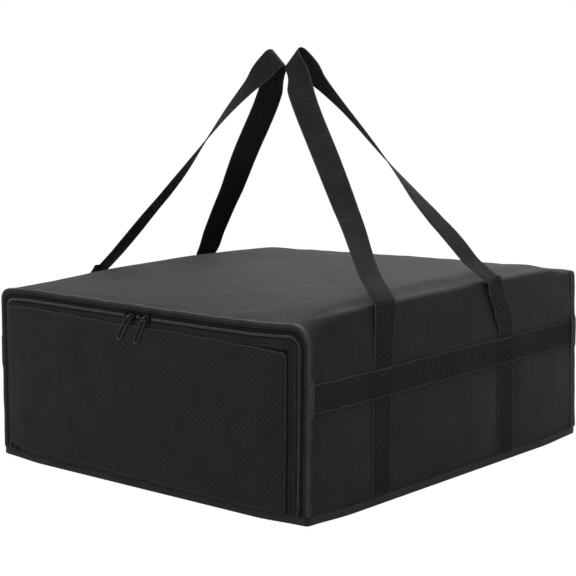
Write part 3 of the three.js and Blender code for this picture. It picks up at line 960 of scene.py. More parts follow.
FLOOR_SIZE, FLOOR_DROP = 30, 0.0002
FLOOR_GLOW, FLOOR_GLOW_SHARE = 1.12, 0.86
ROOM_LIGHT = 0.3
# Name, place, aim, size and watts of each soft lamp
LAMPS = (
    ("behind", (-0.6, 1.9, 1.9), (0.05, 0, 0.25), (1.4, 1.2), 38),
    ("above", (0.6, -0.9, 2.3), (0.1, -0.1, 0.2), (0.8, 0.8), 20),
    ("fill", (2.2, -2.2, 1.1), (0, 0, 0.15), (1.6, 1.4), 11),
)


class Step:
    """What this add-on's operators share: make does the work of each."""

    def execute(self, context):
        self.make(context.scene)
        return {"FINISHED"}


class PIZZABAG_OT_studio(Step, bpy.types.Operator):
    """Sets the camera, the lamps, the white surroundings and the floor"""

    bl_idname = "pizza_bag.studio"
    bl_label = "Studio"

    def make(self, scene):
        self.camera(scene, scene.bag_studio)
        for name, place_at, aim, size, power in LAMPS:
            lamp = bpy.data.lights.new(name, "AREA")
            lamp.shape = "RECTANGLE"
            lamp.size, lamp.size_y = size
            lamp.energy = power * scene.bag_studio.light
            holder = bpy.data.objects.new(name, lamp)
            scene.collection.objects.link(holder)
            holder.location = place_at
            holder.rotation_euler = (Vector(aim) - Vector(place_at)).to_track_quat("-Z", "Y").to_euler()
        self.surroundings(scene)
        floor = new_shape("studio_floor", bpy.ops.mesh.primitive_plane_add, size=FLOOR_SIZE,
                          location=(0, 0, -FLOOR_DROP))
        floor.data.materials.append(studio_floor())
        scene.view_settings.view_transform = "Standard"

    def camera(self, scene, studio):
        around, above, roll = studio.around, studio.above, studio.roll
        ahead = Vector((-math.sin(around) * math.cos(above), math.cos(around) * math.cos(above),
                        -math.sin(above)))
        level = Vector((math.cos(around), math.sin(around), 0))
        upright = level.cross(ahead)
        right = level * math.cos(roll) + upright * math.sin(roll)
        up = upright * math.cos(roll) - level * math.sin(roll)
        aim = Vector((0, MIDDLE, TOP / 2))
        spot = aim - ahead * studio.distance + right * studio.slide + up * studio.climb
        view = bpy.data.cameras.new("view")
        view.sensor_width = 36
        view.lens = studio.lens
        camera = bpy.data.objects.new("view", view)
        scene.collection.objects.link(camera)
        camera.matrix_world = Matrix.Translation(spot) @ Matrix((right, up, -ahead)).transposed().to_4x4()
        scene.camera = camera

    def surroundings(self, scene):
        """A room that lights the bag softly, and looks white to the camera and in what is shiny."""
        world = bpy.data.worlds.new("white_room")
        scene.world = world
        world.use_nodes = True
        kit = Nodes(world.node_tree)
        room = kit.tree.nodes["Background"]
        room.inputs["Color"].default_value = (1, 1, 1, 1)
        room.inputs["Strength"].default_value = ROOM_LIGHT
        seen = kit.add("Background", {"Color": (1, 1, 1, 1), "Strength": 1.0})
        camera, glossy, through = (kit.add("LightPath", output=f"Is {kind} Ray")
                                   for kind in ("Camera", "Glossy", "Transmission"))
        either = kit.reckon("MAXIMUM", kit.reckon("MAXIMUM", camera, glossy), through)
        mixed = kit.add("MixShader", {"Fac": either, 1: room.outputs["Background"], 2: seen})
        kit.feed(kit.tree.nodes["World Output"].inputs["Surface"], mixed)


# The padded pieces

class PIZZABAG_OT_walls(Step, bpy.types.Operator):
    """Makes the padded sheet over the top and both sides, blown up a little between its seams"""

    bl_idname = "pizza_bag.walls"
    bl_label = "Padded walls"

    def make(self, scene):
        shaped, blown, give = 0.8, 0.3, 0.0009
        piece = arch_piece("padded_walls", [(0.0, WALL_LOW.y), (0.0, WALL_HIGH.y)], 136, 76, WALL_LOW.z,
                           bulge=lambda x, y, z: shaped * crown(x, y, z))
        x, y, z = coords(piece).T
        under_strap = (beside_straps(y) < 0.004) & (z < BAND_HIGH.z)
        under_band = (z > BAND_LOW.z - 0.004) & (z < BAND_HIGH.z + 0.003)
        held = 1 - smoothstep(0.006, 0.02, np.minimum(y - WALL_LOW.y, WALL_HIGH.y - y))
        held = np.maximum(held, 1 - smoothstep(BASE_HEIGHT, BASE_HEIGHT + 0.012, z))
        held[(np.abs(x) > SIDE - 0.004) & (under_strap | under_band)] = 1
        soften(piece, held, blown * crown(x, y, z) + give * (1 - held), 0.07, 0.0022)
        thicken(piece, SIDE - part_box("foam_wrap")[1].x + FOAM_DEPTH)
        finish_piece(piece, "bag_body", oxford(), ("outer_wrap", "foam_wrap"), angle=50)


class PIZZABAG_OT_back(Step, bpy.types.Operator):
    """Makes the padded back panel"""

    bl_idname = "pizza_bag.back"
    bl_label = "Padded back"

    def make(self, scene):
        inset = 0.0012
        piece = back_sheet("padded_back", SIDE - inset, WALL_LOW.z, inset, BACK, 76, 34)
        x, y, z = coords(piece).T
        edge = np.minimum(np.minimum(SIDE - np.abs(x), fold_top(0)(x) - z), z)
        held = 1 - smoothstep(0.004, 0.02, edge)
        dome = (1 - (x / SIDE) ** 2) * np.sin(math.pi * np.clip(z / TOP, 0, 1)) ** 0.7
        place(piece, x, y + 0.0022 * dome * (1 - held), z)
        soften(piece, held, 0.0012 * dome + 0.0006, 0.08, 0.002)
        thicken(piece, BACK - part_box("foam_back")[0].y)
        finish_piece(piece, "bag_body", oxford(), ("outer_back_panel", "foam_back"), angle=50)


class PIZZABAG_OT_base(Step, bpy.types.Operator):
    """Makes the padded base, and gives the stiff board in it its finish"""

    bl_idname = "pizza_bag.base"
    bl_label = "Padded base"

    def make(self, scene):
        off_table = 0.0004
        piece = level_sheet("padded_base", "foam_base", off_table, 40)
        face_out(piece, direction(0, 0, -1, len(piece.data.vertices)))
        thicken(piece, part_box("foam_base")[1].z - off_table)
        finish_piece(piece, "bag_body", oxford(), ("outer_base_panel", "foam_base"), angle=50)
        board = frame["nodes"]["base_board"]
        board.data.materials.clear()
        board.data.materials.append(pressed_board())


# The flap's outline

FLAP_WIDER = 0.0125
FLAP_LEFT = FLAP_LOW.x - FLAP_WIDER
FLAP_RIGHT = FLAP_HIGH.x
FLAP_SEAM = FRONT - 0.0001
# Where the top edge begins to climb to the left, over what length, and how much the lower edge climbs
CLIMB_FOOT, CLIMB_RUN = 0.13, 0.398
FOOT_CLIMB = 0.0055
# The radii of the left and the right corner, above and below
TOP_CORNERS, FOOT_CORNERS = (0.004, 0.009), (0.012, 0.005)
# Where the pulls hang, and how far round them the flap stays flat
PULLS_X, FLAT_WIDE, FLAT_TALL = -0.005, 0.055, 0.03
# How far the flap's top edge makes up for the rim's sag, at places along X
FLAP_X = (-0.27, -0.2, -0.13, -0.06, 0.02, 0.085, 0.15, 0.205, 0.25, 0.271)
FLAP_UP = (-0.0008, 0.0008, 0.0017, 0.0028, 0.0049, 0.0075, 0.0064, 0.0038, 0.001, 0)


def edge_spaced(count, span):
    """Places along a length that crowd together near its two ends, where the surface turns."""
    near = [0.0, 0.0006, 0.0016, 0.003, 0.0046, 0.0068, 0.01]
    inner = np.linspace(near[-1], span - near[-1], count - 2 * len(near) + 3)[1:-1]
    return np.r_[near, inner, [span - spot for spot in near[::-1]]]


def flap_corner(x, left, right):
    """How much a rounded corner takes off the flap's height at each x."""
    past = np.clip(x - (FLAP_RIGHT - right), 0, right)
    drop = right - np.sqrt(right ** 2 - past ** 2)
    past = np.clip(FLAP_LEFT + left - x, 0, left)
    return drop + left - np.sqrt(left ** 2 - past ** 2)


def flap_top(x):
    """The flap's top edge: it climbs towards its left end, and is never quite straight."""
    climb = bpy.context.scene.bag_shape.flap_rise * np.clip((CLIMB_FOOT - x) / CLIMB_RUN, 0, 1) ** 1.15
    uneven = 0.0005 * (np.sin(37 * x + 0.4) + np.sin(83 * x + 2)) * smoothstep(-0.2, -0.1, x)
    straight = FLAP_HIGH.z - 0.0008 + climb + np.interp(x, FLAP_X, FLAP_UP) + uneven
    return straight - flap_corner(x, *TOP_CORNERS)


def flap_foot(x):
    """The flap's lower edge, a little higher towards its left end."""
    climb = FOOT_CLIMB * smoothstep(0.22, -0.25, x)
    return FLAP_LOW.z + 0.0005 + climb + 0.0006 * np.sin(29 * x + 1) ** 2 + flap_corner(x, *FOOT_CORNERS)


def flap_edge(x, z, inset=0.0):
    """How far a place on the flap is from its edge."""
    sides = np.minimum(x - FLAP_LEFT, FLAP_RIGHT - x)
    return np.maximum(np.minimum(np.minimum(sides, flap_top(x) - z), z - flap_foot(x)) - inset, 0)


def flap_sheet(name, steps, rows, inset=0.0):
    """A sheet over the flap's outline, the x and z of its places, and how far each is from the edge."""
    piece, across, up = new_sheet(name, steps, rows)
    tall = FLAP_HIGH.z - FLAP_LOW.z
    wide = edge_spaced(steps, FLAP_RIGHT - FLAP_LEFT - 2 * inset)
    x = FLAP_LEFT + inset + wide[np.round(across * steps).astype(int)]
    share = edge_spaced(rows, tall)[np.round(up * rows).astype(int)] / tall
    top, foot = flap_top(x) - inset, flap_foot(x) + inset
    z = foot + share * (top - foot)
    write_uv(piece, x, z)
    return piece, x, z, flap_edge(x, z, inset)


def rolled(edge, rounding, seam, face):
    """How deep a padded face lies near its edge, where it rolls back to the seam."""
    turned = np.clip(1 - edge / rounding, 0, 1)
    return seam + (face - seam) * np.sqrt(1 - turned ** 2)


class PIZZABAG_OT_flap(Step, bpy.types.Operator):
    """Makes the padded front flap: two faces that roll into one seam, blown up a little"""

    bl_idname = "pizza_bag.flap"
    bl_label = "Padded flap"

    def make(self, scene):
        piece, x, z, edge = flap_sheet("padded_flap", 112, 52)
        place(piece, x, rolled(edge, HEM_ROLL, FLAP_SEAM, FLAP_LOW.y), z)
        face_out(piece, direction(0, -1, 0, len(x)))
        only(piece)
        bpy.ops.object.duplicate()
        inside = bpy.context.active_object
        place(inside, x, rolled(edge, HEM_ROLL, FLAP_SEAM, FLAP_BACK), z)
        inside.data.flip_normals()
        only(piece, inside)
        bpy.ops.object.join()
        merge(piece, 0.00005)
        x, y, z = coords(piece).T
        outer = y < FLAP_SEAM
        held = 1 - smoothstep(0.004, 0.022, flap_edge(x, z))
        held[y > FLAP_SEAM] = 1
        middle, half = (FLAP_LEFT + FLAP_RIGHT) / 2, (FLAP_RIGHT - FLAP_LEFT) / 2
        dome = (1 - np.clip((x - middle) / half, -1, 1) ** 2) ** 0.6
        dome = dome * np.sin(math.pi * np.clip(z / flap_top(x), 0, 1)) ** 0.8
        beside_pulls = np.exp(-((x - PULLS_X) / FLAT_WIDE) ** 2 - ((z - FLAP_HIGH.z) / FLAT_TALL) ** 2)
        room = scene.bag_shape.flap_crown * dome * (1 - beside_pulls) * outer
        shaped, blown, give = 0.7, 0.35, 0.0005
        place(piece, x, y - shaped * room, z)
        swell(piece, held, blown * room + give * outer * (1 - beside_pulls))
        weigh(piece, "loose", (1 - held) * (1 - beside_pulls))
        cloud(piece, 0.06, 0.0016, group="loose")
        subdivide(piece)
        finish_piece(piece, "front_flap", flap_oxford(), ("flap_outer_panel", "flap_foam"))


class PIZZABAG_OT_flap_edge(Step, bpy.types.Operator):
    """Makes the thin turned hem round the flap's edge"""

    bl_idname = "pizza_bag.flap_edge"
    bl_label = "Flap hem"

    def make(self, scene):
        inset, radius, upright_steps = 0.001, 0.0007, 62
        x = FLAP_LEFT + inset + edge_spaced(150, FLAP_RIGHT - FLAP_LEFT - 2 * inset)
        top = np.stack([x, flap_top(x) - inset], axis=1)
        foot = np.stack([x, flap_foot(x) + inset], axis=1)[::-1]
        right = np.linspace(top[-1], foot[0], upright_steps)[1:-1]
        left = np.linspace(foot[-1], top[0], upright_steps)[1:]
        line = np.concatenate([top, right, foot, left])
        ahead = np.gradient(line, axis=0)
        ahead[0] = ahead[-1] = line[1] - line[-2]
        ahead /= np.linalg.norm(ahead, axis=1)[:, None]
        steps = len(line) - 1
        piece, way, turn = new_sheet("flap_hem", steps, 8)
        step = np.round(way * steps).astype(int)
        turned = turn * 2 * math.pi
        thick = radius * (1 + 0.15 * np.sin(step * 0.7) * (turned > 0))
        face = rolled(np.full(len(step), inset), HEM_ROLL, FLAP_SEAM, FLAP_LOW.y)
        place(piece, line[step, 0] - ahead[step, 1] * thick * np.cos(turned), face + thick * np.sin(turned),
              line[step, 1] + ahead[step, 0] * thick * np.cos(turned))
        write_uv(piece, turn * 0.0056, way * 1.5)
        close_up(piece)
        finish_piece(piece, "front_flap", flap_hem())


class PIZZABAG_OT_hinge_strip(Step, bpy.types.Operator):
    """Makes the strip of cloth that joins the flap's foot to the base"""

    bl_idname = "pizza_bag.hinge_strip"
    bl_label = "Hinge strip"

    def make(self, scene):
        piece, across, up = new_sheet("hinge_strip", 60, 8)
        tucked = 0.002
        x = FLAP_LEFT + 0.008 + across * (FLAP_RIGHT - FLAP_LEFT - 0.013)
        z = BASE_HEIGHT - tucked + up * (flap_foot(x) + 0.003 - BASE_HEIGHT + tucked)
        place(piece, x, FRONT + 0.0006 - up * 0.0004, z)
        write_uv(piece, x, z)
        face_out(piece, direction(0, -1, 0, len(x)))
        thicken(piece, 0.0006)
        settle(piece)
        only(piece)
        bpy.ops.object.shade_smooth()
        piece.data.materials.append(binding_tape())
        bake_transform(piece)


# Bindings and zip

def ripple(x, y, z):
    """The slight unevenness of a sewn-on tape."""
    return 0.00022 * (np.sin(61 * x + 83 * z) + np.sin(149 * x - 117 * z + 1.3) + np.sin(57 * y + 2.1))


def rim_unevenness(x, y, z):
    """A rim's ripple, and the lump where the bands' ends are tucked under the binding."""
    lump, fade = 0.0016, 0.008
    above = smoothstep(BAND_HIGH.z, BAND_HIGH.z + fade, z)
    near = smoothstep(BAND_LOW.z - fade, BAND_LOW.z, z) * (1 - above)
    return ripple(x, y, z) + lump * near * (np.abs(x) > SIDE - 0.0005)


class PIZZABAG_OT_bindings(Step, bpy.types.Operator):
    """Makes the tape that is folded over each edge of the bag"""

    bl_idname = "pizza_bag.bindings"
    bl_label = "Edge bindings"

    def make(self, scene):
        for where, front, cloth_of in (("front", -1, rim_tape), ("back", 1, binding_tape)):
            low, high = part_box(f"{where}_rim_binding")
            out = SIDE - high.x
            face, far = (low.y, high.y) if front < 0 else (high.y, low.y)
            profile = rounded_profile((out, far), (out, face), (RIM_FACE, face), 0.0013)
            piece = arch_piece(f"{where}_binding", profile, 300, 16, low.z, front, rim_unevenness)
            thicken(piece, BINDING_THICK)
            finish_piece(piece, "bag_body", cloth_of(), (f"{where}_rim_binding",), angle=60)
        piece, way, over = new_sheet("base_binding_tape", 560, 14)
        profile = rounded_profile((0, BASE_HEIGHT), (0, 0.0001), (0.01, 0.0001), 0.0028)
        inset, z, width = profile_at(profile, over)
        x, y, out_x, out_y, total = ring(way, inset)
        wave = ripple(x, y, z) * (z > 0.004)
        place(piece, x + out_x * wave, y + out_y * wave, z)
        write_uv(piece, over * width, way * total)
        face_out(piece, np.stack([out_x, out_y, 0 * x], axis=1))
        merge(piece)
        thicken(piece, BINDING_THICK)
        finish_piece(piece, "bag_body", binding_tape(), ("base_binding",), angle=60)


class PIZZABAG_OT_zip_tapes(Step, bpy.types.Operator):
    """Makes the two cloth tapes that carry the zip"""

    bl_idname = "pizza_bag.zip_tapes"
    bl_label = "Zip tapes"

    def make(self, scene):
        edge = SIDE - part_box("body_zip_tape")[1].x
        inner = edge + 0.006
        profile = [(edge, FRONT), (inner - 0.0006, FRONT), (inner, FRONT + 0.0003)]
        # Painted shade: the body tape takes 0.3 of the binding's colour for the groove between the rim and
        # the coil, and is darker again beside the rim binding
        self.tape("body", "bag_body", profile, 6, 0.3, (0.001, 0.003))
        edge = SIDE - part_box("flap_zip_tape")[1].x
        welt = 0.0275
        ridge = bend((welt - 0.001, FRONT), (welt, FRONT - 0.0013), (welt + 0.006, FRONT - 0.0006),
                     0.0006, 3)
        profile = [(edge, FRONT + 0.0003), (edge + 0.0006, FRONT), (welt - 0.0012, FRONT), *ridge,
                   (0.0335, FRONT - 0.0006)]
        # Painted shade: the flap tape takes 0.75 of the binding's colour, and is darker beside the coil and
        # under the flap's edge
        self.tape("flap", "front_flap", profile, 14, 0.75, (0.0004, 0.0022), (0.0168, 0.0115))

    def tape(self, owner, body, profile, rows, painted_shade_share, *shaded):
        node = f"{owner}_zip_tape"
        piece = arch_piece(f"{owner}_tape", profile, 300, rows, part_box(node)[0].z, -1)
        thicken(piece, TAPE_THICK)
        tape_cloth = zip_cloth(f"bag_{owner}_tape", painted_shade_share, *shaded)
        finish_piece(piece, body, tape_cloth, (node,), angle=60)


# Each coil's owner and body, how far it lies inside the outline, and its shift in turns
COILS = (("body", "bag_body", 0.01405, 0.0), ("flap", "front_flap", 0.01585, 0.5))
COIL_TURN = (0.00082, 0.0024, 0.0024)


class PIZZABAG_OT_zip_coils(Step, bpy.types.Operator):
    """Makes the zip's two coils, turn by turn, and the stops at their ends"""

    bl_idname = "pizza_bag.zip_coils"
    bl_label = "Zip coils"

    def make(self, scene):
        pitch = scene.bag_shape.tooth_pitch
        low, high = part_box("body_zip_coil")
        y = (low.y + high.y) / 2 - 0.0002
        for owner, body, inset, shift in COILS:
            points, outward = arch_line(inset, y, low.z + shift * pitch, front=-1, samples=1400)
            turns = line_spots(points, outward, pitch)
            piece = scatter(f"{owner}_coil", new_bead(*COIL_TURN), *turns)
            finish_piece(piece, body, nylon_coil(), (f"{owner}_zip_coil",))
        for side, _ in SIDES[::-1]:
            piece = new_box(f"coil_stop_{side}", *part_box(f"zip_stop_{side}"))
            apply_modifier(piece, "BEVEL", width=0.0008, segments=3)
            finish_piece(piece, "bag_body", black_metal(), (f"zip_stop_{side}",), angle=40)


def block(low, high, rounding, across=None):
    """A block with rounded edges. With across, its edges along Y are first rounded that much."""
    piece = new_box("block", Vector(low), Vector(high))
    if across:
        bpy.ops.object.mode_set(mode="EDIT")
        bpy.ops.mesh.select_mode(type="EDGE")
        bpy.ops.object.mode_set(mode="OBJECT")
        for edge in piece.data.edges:
            ends = [piece.data.vertices[index].co for index in edge.vertices]
            edge.select = abs(ends[0].y - ends[1].y) > 0.0001
        bpy.ops.object.mode_set(mode="EDIT")
        bpy.ops.mesh.bevel(offset=across, segments=6, affect="EDGES")
        bpy.ops.object.mode_set(mode="OBJECT")
    apply_modifier(piece, "BEVEL", width=rounding, segments=3, limit_method="ANGLE",
                   angle_limit=math.radians(40))
    return piece


# A pull's whole length, its ring's middle and outer radius, its wire, half its depth and its filled end
PULL_LENGTH, PULL_RADIUS, PULL_OUT, PULL_WIRE, PULL_DEPTH = 0.044, 0.0039, 0.005, 0.0011, 0.0008
PULL_FILL = 0.0022
PULL_STRAIGHT = PULL_LENGTH - 2 * (PULL_RADIUS + PULL_WIRE)


class PIZZABAG_OT_sliders(Step, bpy.types.Operator):
    """Makes the two sliders with their bridges, and the long slotted pulls"""

    bl_idname = "pizza_bag.sliders"
    bl_label = "Sliders and pulls"

    def make(self, scene):
        for side, _ in SIDES[::-1]:
            joint = next(one for one in frame["joints"] if one["name"] == f"pull_{side}_flip")
            pivot, axis = Vector(joint["pos_m"]), Vector(joint["axis"])
            tilt = math.atan2(axis.z, -axis.x)
            self.slider(side, pivot, tilt)
            self.pull(side, pivot, tilt)

    def mount(self, piece, node, angle):
        finish_piece(piece, node, black_metal(), (node,), settled=False, angle=angle)

    def hang(self, piece, pivot, tilt):
        """Turns a piece about the pivot's line to the pull's rest place."""
        piece.rotation_euler = (0, tilt, 0)
        piece.location = pivot
        apply_place(piece)

    def slider(self, side, pivot, tilt):
        low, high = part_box(f"zip_slider_{side}")
        wing_back, wing_front = FRONT - 0.0011, FRONT - 0.0025
        wing = block((low.x, wing_front, low.z), (high.x, wing_back, high.z), 0.00045, across=0.0042)
        ridge = block((low.x + 0.0035, wing_front - 0.0005, pivot.z - 0.0022),
                      (high.x - 0.0035, wing_front + 0.0003, pivot.z + 0.0022), 0.0004)
        parts = [wing, ridge]
        for edge in (-1, 1):
            middle = pivot.z + edge * (high.z - low.z) * 0.42
            parts.append(block((low.x + 0.002, wing_back - 0.0004, middle - 0.0007),
                               (high.x - 0.002, FRONT - 0.0002, middle + 0.0007), 0.0003))
        parts.append(block((low.x, high.y - 0.0014, low.z), (high.x, high.y, pivot.z + 0.0004), 0.0004))
        bridge = new_shape("bridge", bpy.ops.mesh.primitive_torus_add, major_radius=0.002,
                           minor_radius=0.0005, major_segments=28, minor_segments=10,
                           rotation=(0, math.pi / 2, 0))
        x, y, z = coords(bridge).T
        place(bridge, x * 2.3, y + 0.0026 * (y > 0), z)
        self.hang(bridge, pivot, tilt)
        only(*parts, bridge)
        bpy.ops.object.join()
        self.mount(named(wing, f"slider_{side}"), f"zip_slider_{side}", 35)

    def pull(self, side, pivot, tilt):
        """A ring that is drawn out downwards into a long flat slot, and filled in a little at its end."""
        piece = new_shape(f"pull_{side}", bpy.ops.mesh.primitive_torus_add, major_radius=PULL_RADIUS,
                          minor_radius=PULL_WIRE, major_segments=48, minor_segments=14,
                          rotation=(math.pi / 2, 0, 0))
        x, y, z = coords(piece).T
        radius = np.hypot(x, z)
        lower = z < -0.00001
        inner = np.clip((PULL_OUT - radius) / PULL_FILL, 0, 1)
        solid = PULL_FILL * inner * np.clip(-z / np.maximum(radius, 1e-9), 0, 1) * lower
        share = np.clip(y / PULL_WIRE, -1, 1)
        deep = PULL_DEPTH * (1.45 * share - 0.45 * share ** 3)
        place(piece, x, deep, z - PULL_RADIUS - PULL_STRAIGHT * lower + solid)
        self.hang(piece, pivot, tilt)
        self.mount(piece, f"zip_pull_{side}", 50)


# Webbing and loops

class PIZZABAG_OT_webbing(Step, bpy.types.Operator):
    """Makes the sewn lengths of webbing: four straps, and a band over them on each side"""

    bl_idname = "pizza_bag.webbing"
    bl_label = "Straps and bands"

    def make(self, scene):
        flat = SIDE + GAP + WEB_THICK / 2
        over = flat + WEB_THICK + GAP
        for side, sign in SIDES:
            y = np.arange(BAND_LOW.y, BAND_HIGH.y, 0.0025)
            x = flat + (over - flat) * (1 - smoothstep(0.0003, 0.0045, beside_straps(y)))
            columns = (x, y, np.full_like(y, BAND_LOW.z + WEB / 2))
            self.sewn_length(f"band_{side}", f"side_band_{side}", sign, columns, (0, 0, 1))
            for where, middle in zip(("front", "back"), STRAP_Y):
                node = f"strap_{where}_{side}"
                low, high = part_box(node)
                z = np.linspace(low.z, high.z - 0.001, 60)
                columns = (np.full_like(z, flat), np.full_like(z, middle), z)
                self.sewn_length(f"{node}_web", node, sign, columns, (0, 1, 0))

    def sewn_length(self, name, node, sign, columns, across):
        points = np.stack(columns, axis=1) * (sign, 1, 1)
        across = direction(*across, len(points))
        outward = np.cross(np.gradient(points, axis=0), across)
        outward /= np.linalg.norm(outward, axis=1)[:, None]
        outward *= np.sign(outward[:, :1] * sign)
        piece = ribbon(name, points, outward, across)
        finish_piece(piece, "bag_body", strap_web(), (node,), angle=50)


# The loops' route, as in the CAD, but round the tight fold: laid out on a surface that goes up
# the side, over the fold and on to the apex at a lean
LOOP_FOOT = BAND_HIGH.z + GAP
APEX = (0.0014, 0.0065, 0.57)
APEX_BEND = 0.009
FOOT_KNEE, FOOT_SPAN, KNEE_SPAN = 0.0175, 0.011, 0.013
ROUTE_STEP = 0.0028
# How far the loops stay clear of the cloth, and how far past the fold its swelling still moves them
LOOP_CLEAR, SWELL_FADE = 0.001, 0.16
# How far along the fold each front and back leg crosses it, from its foot
FOLD_SHIFTS = {"right": (-0.007, -0.042), "left": (0.0645, 0.02)}
# Of each front and back leg, from its foot to the apex: its twist in degrees, and in metres
# how far it bows outwards and how far it sways towards the back
TWIST_SHARES = (0, 0.15, 0.3, 0.45, 0.55, 0.65, 0.8, 0.9, 1)
BOW_SHARES = (0, 0.2, 0.4, 0.6, 0.8, 1)
LEGS = {
    "right": (
        ((0, 10, -1, 15, 24, 30, 30, 36, 90),
         (0, -0.0055, 0.0018, 0.0019, 0.0011, 0), (0, 0.002, 0.0065, 0.0028, 0.0005, 0)),
        ((0, 5, -6, 5, 26, 36, 43, 58, 90),
         (0, -0.004, 0.0105, 0.0091, 0.0109, 0), (0, -0.0043, -0.0008, -0.0052, -0.0054, 0)),
    ),
    "left": (
        ((0, 9, 7, 12, 15, 29, 46, 60, 90),
         (0, -0.0009, 0.0067, 0.0077, 0.0097, 0), (0, 0.0005, -0.002, 0.0009, 0.0012, 0)),
        ((0, 16, 21, 26, 38, 51, 61, 56, 90),
         (0, 0.0023, 0.0057, 0.0046, 0.0019, 0), (0, -0.0008, -0.0026, 0.0017, 0.0072, 0)),
    ),
}
LOOP_RADIUS = BACK_FOLD + GAP + WEB_THICK / 2
FOLD_X, FOLD_Z = SIDE - BACK_FOLD, TOP - BACK_FOLD
TO_APEX = math.hypot(FOLD_X - APEX[0], APEX[2] - FOLD_Z)
LOOP_LEAN = math.atan2(FOLD_X - APEX[0], APEX[2] - FOLD_Z) + math.asin(LOOP_RADIUS / TO_APEX)
SIDE_RUN = FOLD_Z - LOOP_FOOT
FOLD_RUN = LOOP_RADIUS * LOOP_LEAN
APEX_RUN = SIDE_RUN + FOLD_RUN + math.sqrt(TO_APEX ** 2 - LOOP_RADIUS ** 2)


def laid_out(run, y):
    """A place of the loops' surface, its outward direction and how far it is past the fold."""
    turned = np.clip((run - SIDE_RUN) / LOOP_RADIUS, 0, LOOP_LEAN)
    beyond = np.maximum(run - SIDE_RUN - FOLD_RUN, 0)
    x = FOLD_X + LOOP_RADIUS * np.cos(turned) - beyond * np.sin(turned)
    folded = FOLD_Z + LOOP_RADIUS * np.sin(turned) + beyond * np.cos(turned)
    z = np.where(run > SIDE_RUN, folded, LOOP_FOOT + run)
    return np.stack([x, y, z], axis=1), np.stack([np.cos(turned), 0 * run, np.sin(turned)], axis=1), beyond


def eased(share, knees, values):
    """Values between knees, with every knee rounded off."""
    spots = np.linspace(-0.2, 1.2, 141)
    line = np.interp(spots, knees, values)
    for _ in range(2):
        line = np.convolve(np.pad(line, 4, mode="edge"), np.ones(9) / 9, "valid")
    return np.interp(share, spots, line)


def from_place(run, y, distance, heading):
    return run + distance * math.cos(heading), y + distance * math.sin(heading)


def loop_route(shifts):
    """Up the front strap, over a tight bend at the apex and down the back strap, as (run, y) places."""
    knee = SIDE_RUN + FOLD_RUN / 2
    middle = np.array([APEX_RUN - APEX_BEND, APEX[1]])
    legs = []
    for strap_y, shift in zip(STRAP_Y, shifts):
        foot_y = strap_y - MIDDLE
        y = foot_y + shift
        reach = np.array([middle[0] - knee, middle[1] - y])
        around_apex = math.copysign(math.asin(APEX_BEND / np.hypot(*reach)), y - middle[1])
        heading = math.atan2(reach[1], reach[0]) + around_apex
        slant = math.atan2(shift, knee - FOOT_KNEE)
        foot = quadratic((FOOT_KNEE - FOOT_SPAN, foot_y), (FOOT_KNEE, foot_y),
                         from_place(FOOT_KNEE, foot_y, FOOT_SPAN, slant), 24)
        fold = quadratic(from_place(knee, y, -KNEE_SPAN, slant), (knee, y),
                         from_place(knee, y, KNEE_SPAN, heading), 24)
        legs.append((heading, np.concatenate([[(0, foot_y)], foot, fold])))
    (first_heading, first), (last_heading, last) = legs
    turn = np.linspace(first_heading - math.pi / 2, last_heading + math.pi / 2, 40)
    over = middle + APEX_BEND * np.stack([np.cos(turn), np.sin(turn)], axis=1)
    route = np.concatenate([first, over, last[::-1]])
    runs = runs_of(route)
    spots = np.linspace(0, runs[-1], int(runs[-1] / ROUTE_STEP))
    return [np.interp(spots, runs, route[:, axis]) for axis in range(2)]


class PIZZABAG_OT_loops(Step, bpy.types.Operator):
    """Makes the two carrying loops, which turn a quarter on their way up and meet over the middle"""

    bl_idname = "pizza_bag.loops"
    bl_label = "Carrying loops"

    def make(self, scene):
        for side, sign in SIDES:
            run, y = loop_route(FOLD_SHIFTS[side])
            points, outward, beyond = laid_out(run, y)
            points[:, 1] += MIDDLE
            along = np.gradient(points, axis=0)
            along -= outward * (along * outward).sum(axis=1)[:, None]
            along /= np.linalg.norm(along, axis=1)[:, None]
            share = np.minimum(run / (APEX_RUN - APEX_BEND), 1)
            in_front = np.arange(len(run)) < np.argmax(run)
            twist, bow, sway = (np.where(in_front, *(eased(share, knees, leg[part]) for leg in LEGS[side]))
                                for part, knees in enumerate((TWIST_SHARES, BOW_SHARES, BOW_SHARES)))
            twist = np.radians(twist + (90 - twist) * smoothstep(0.9, 1, share))[:, None]
            face = outward * np.cos(twist) + np.cross(outward, along) * np.sin(twist)
            bowed = (bow * smoothstep(0.01, 0.05, beyond))[:, None]
            fade = np.clip(1 - beyond / SWELL_FADE, 0, 1)[:, None]
            on_wall, _, _ = laid_out(np.minimum(run, SIDE_RUN + FOLD_RUN), points[:, 1])
            clear = LOOP_CLEAR * smoothstep(0, 0.02, run)[:, None]
            out = WEB / 2 * np.abs(np.sin(twist)) + bowed + clear
            centre = points + outward * out + swelling(on_wall) * fade
            centre[:, 1] += sway * smoothstep(0, 0.03, run) * (1 - smoothstep(0.97, 1, share))
            across = np.cross(along, face)
            piece = ribbon(f"loop_{side}", *(vectors * (sign, 1, 1) for vectors in (centre, face, across)))
            place(piece, stand(coords(piece)))
            finish_piece(piece, f"handle_{side}", strap_web(), (f"handle_{side}",),
                         settled=False, angle=50)


# Seams

# Each zip tape's seams: their name and body, and how far inside the outline and at what Y each runs
TAPE_SEAMS = (
    ("body_tape_seam", "bag_body", [(0.0096, FRONT)]),
    ("flap_tape_seam", "front_flap", [(0.0262, FRONT - 0.0008), (0.0192, FRONT)]),
)


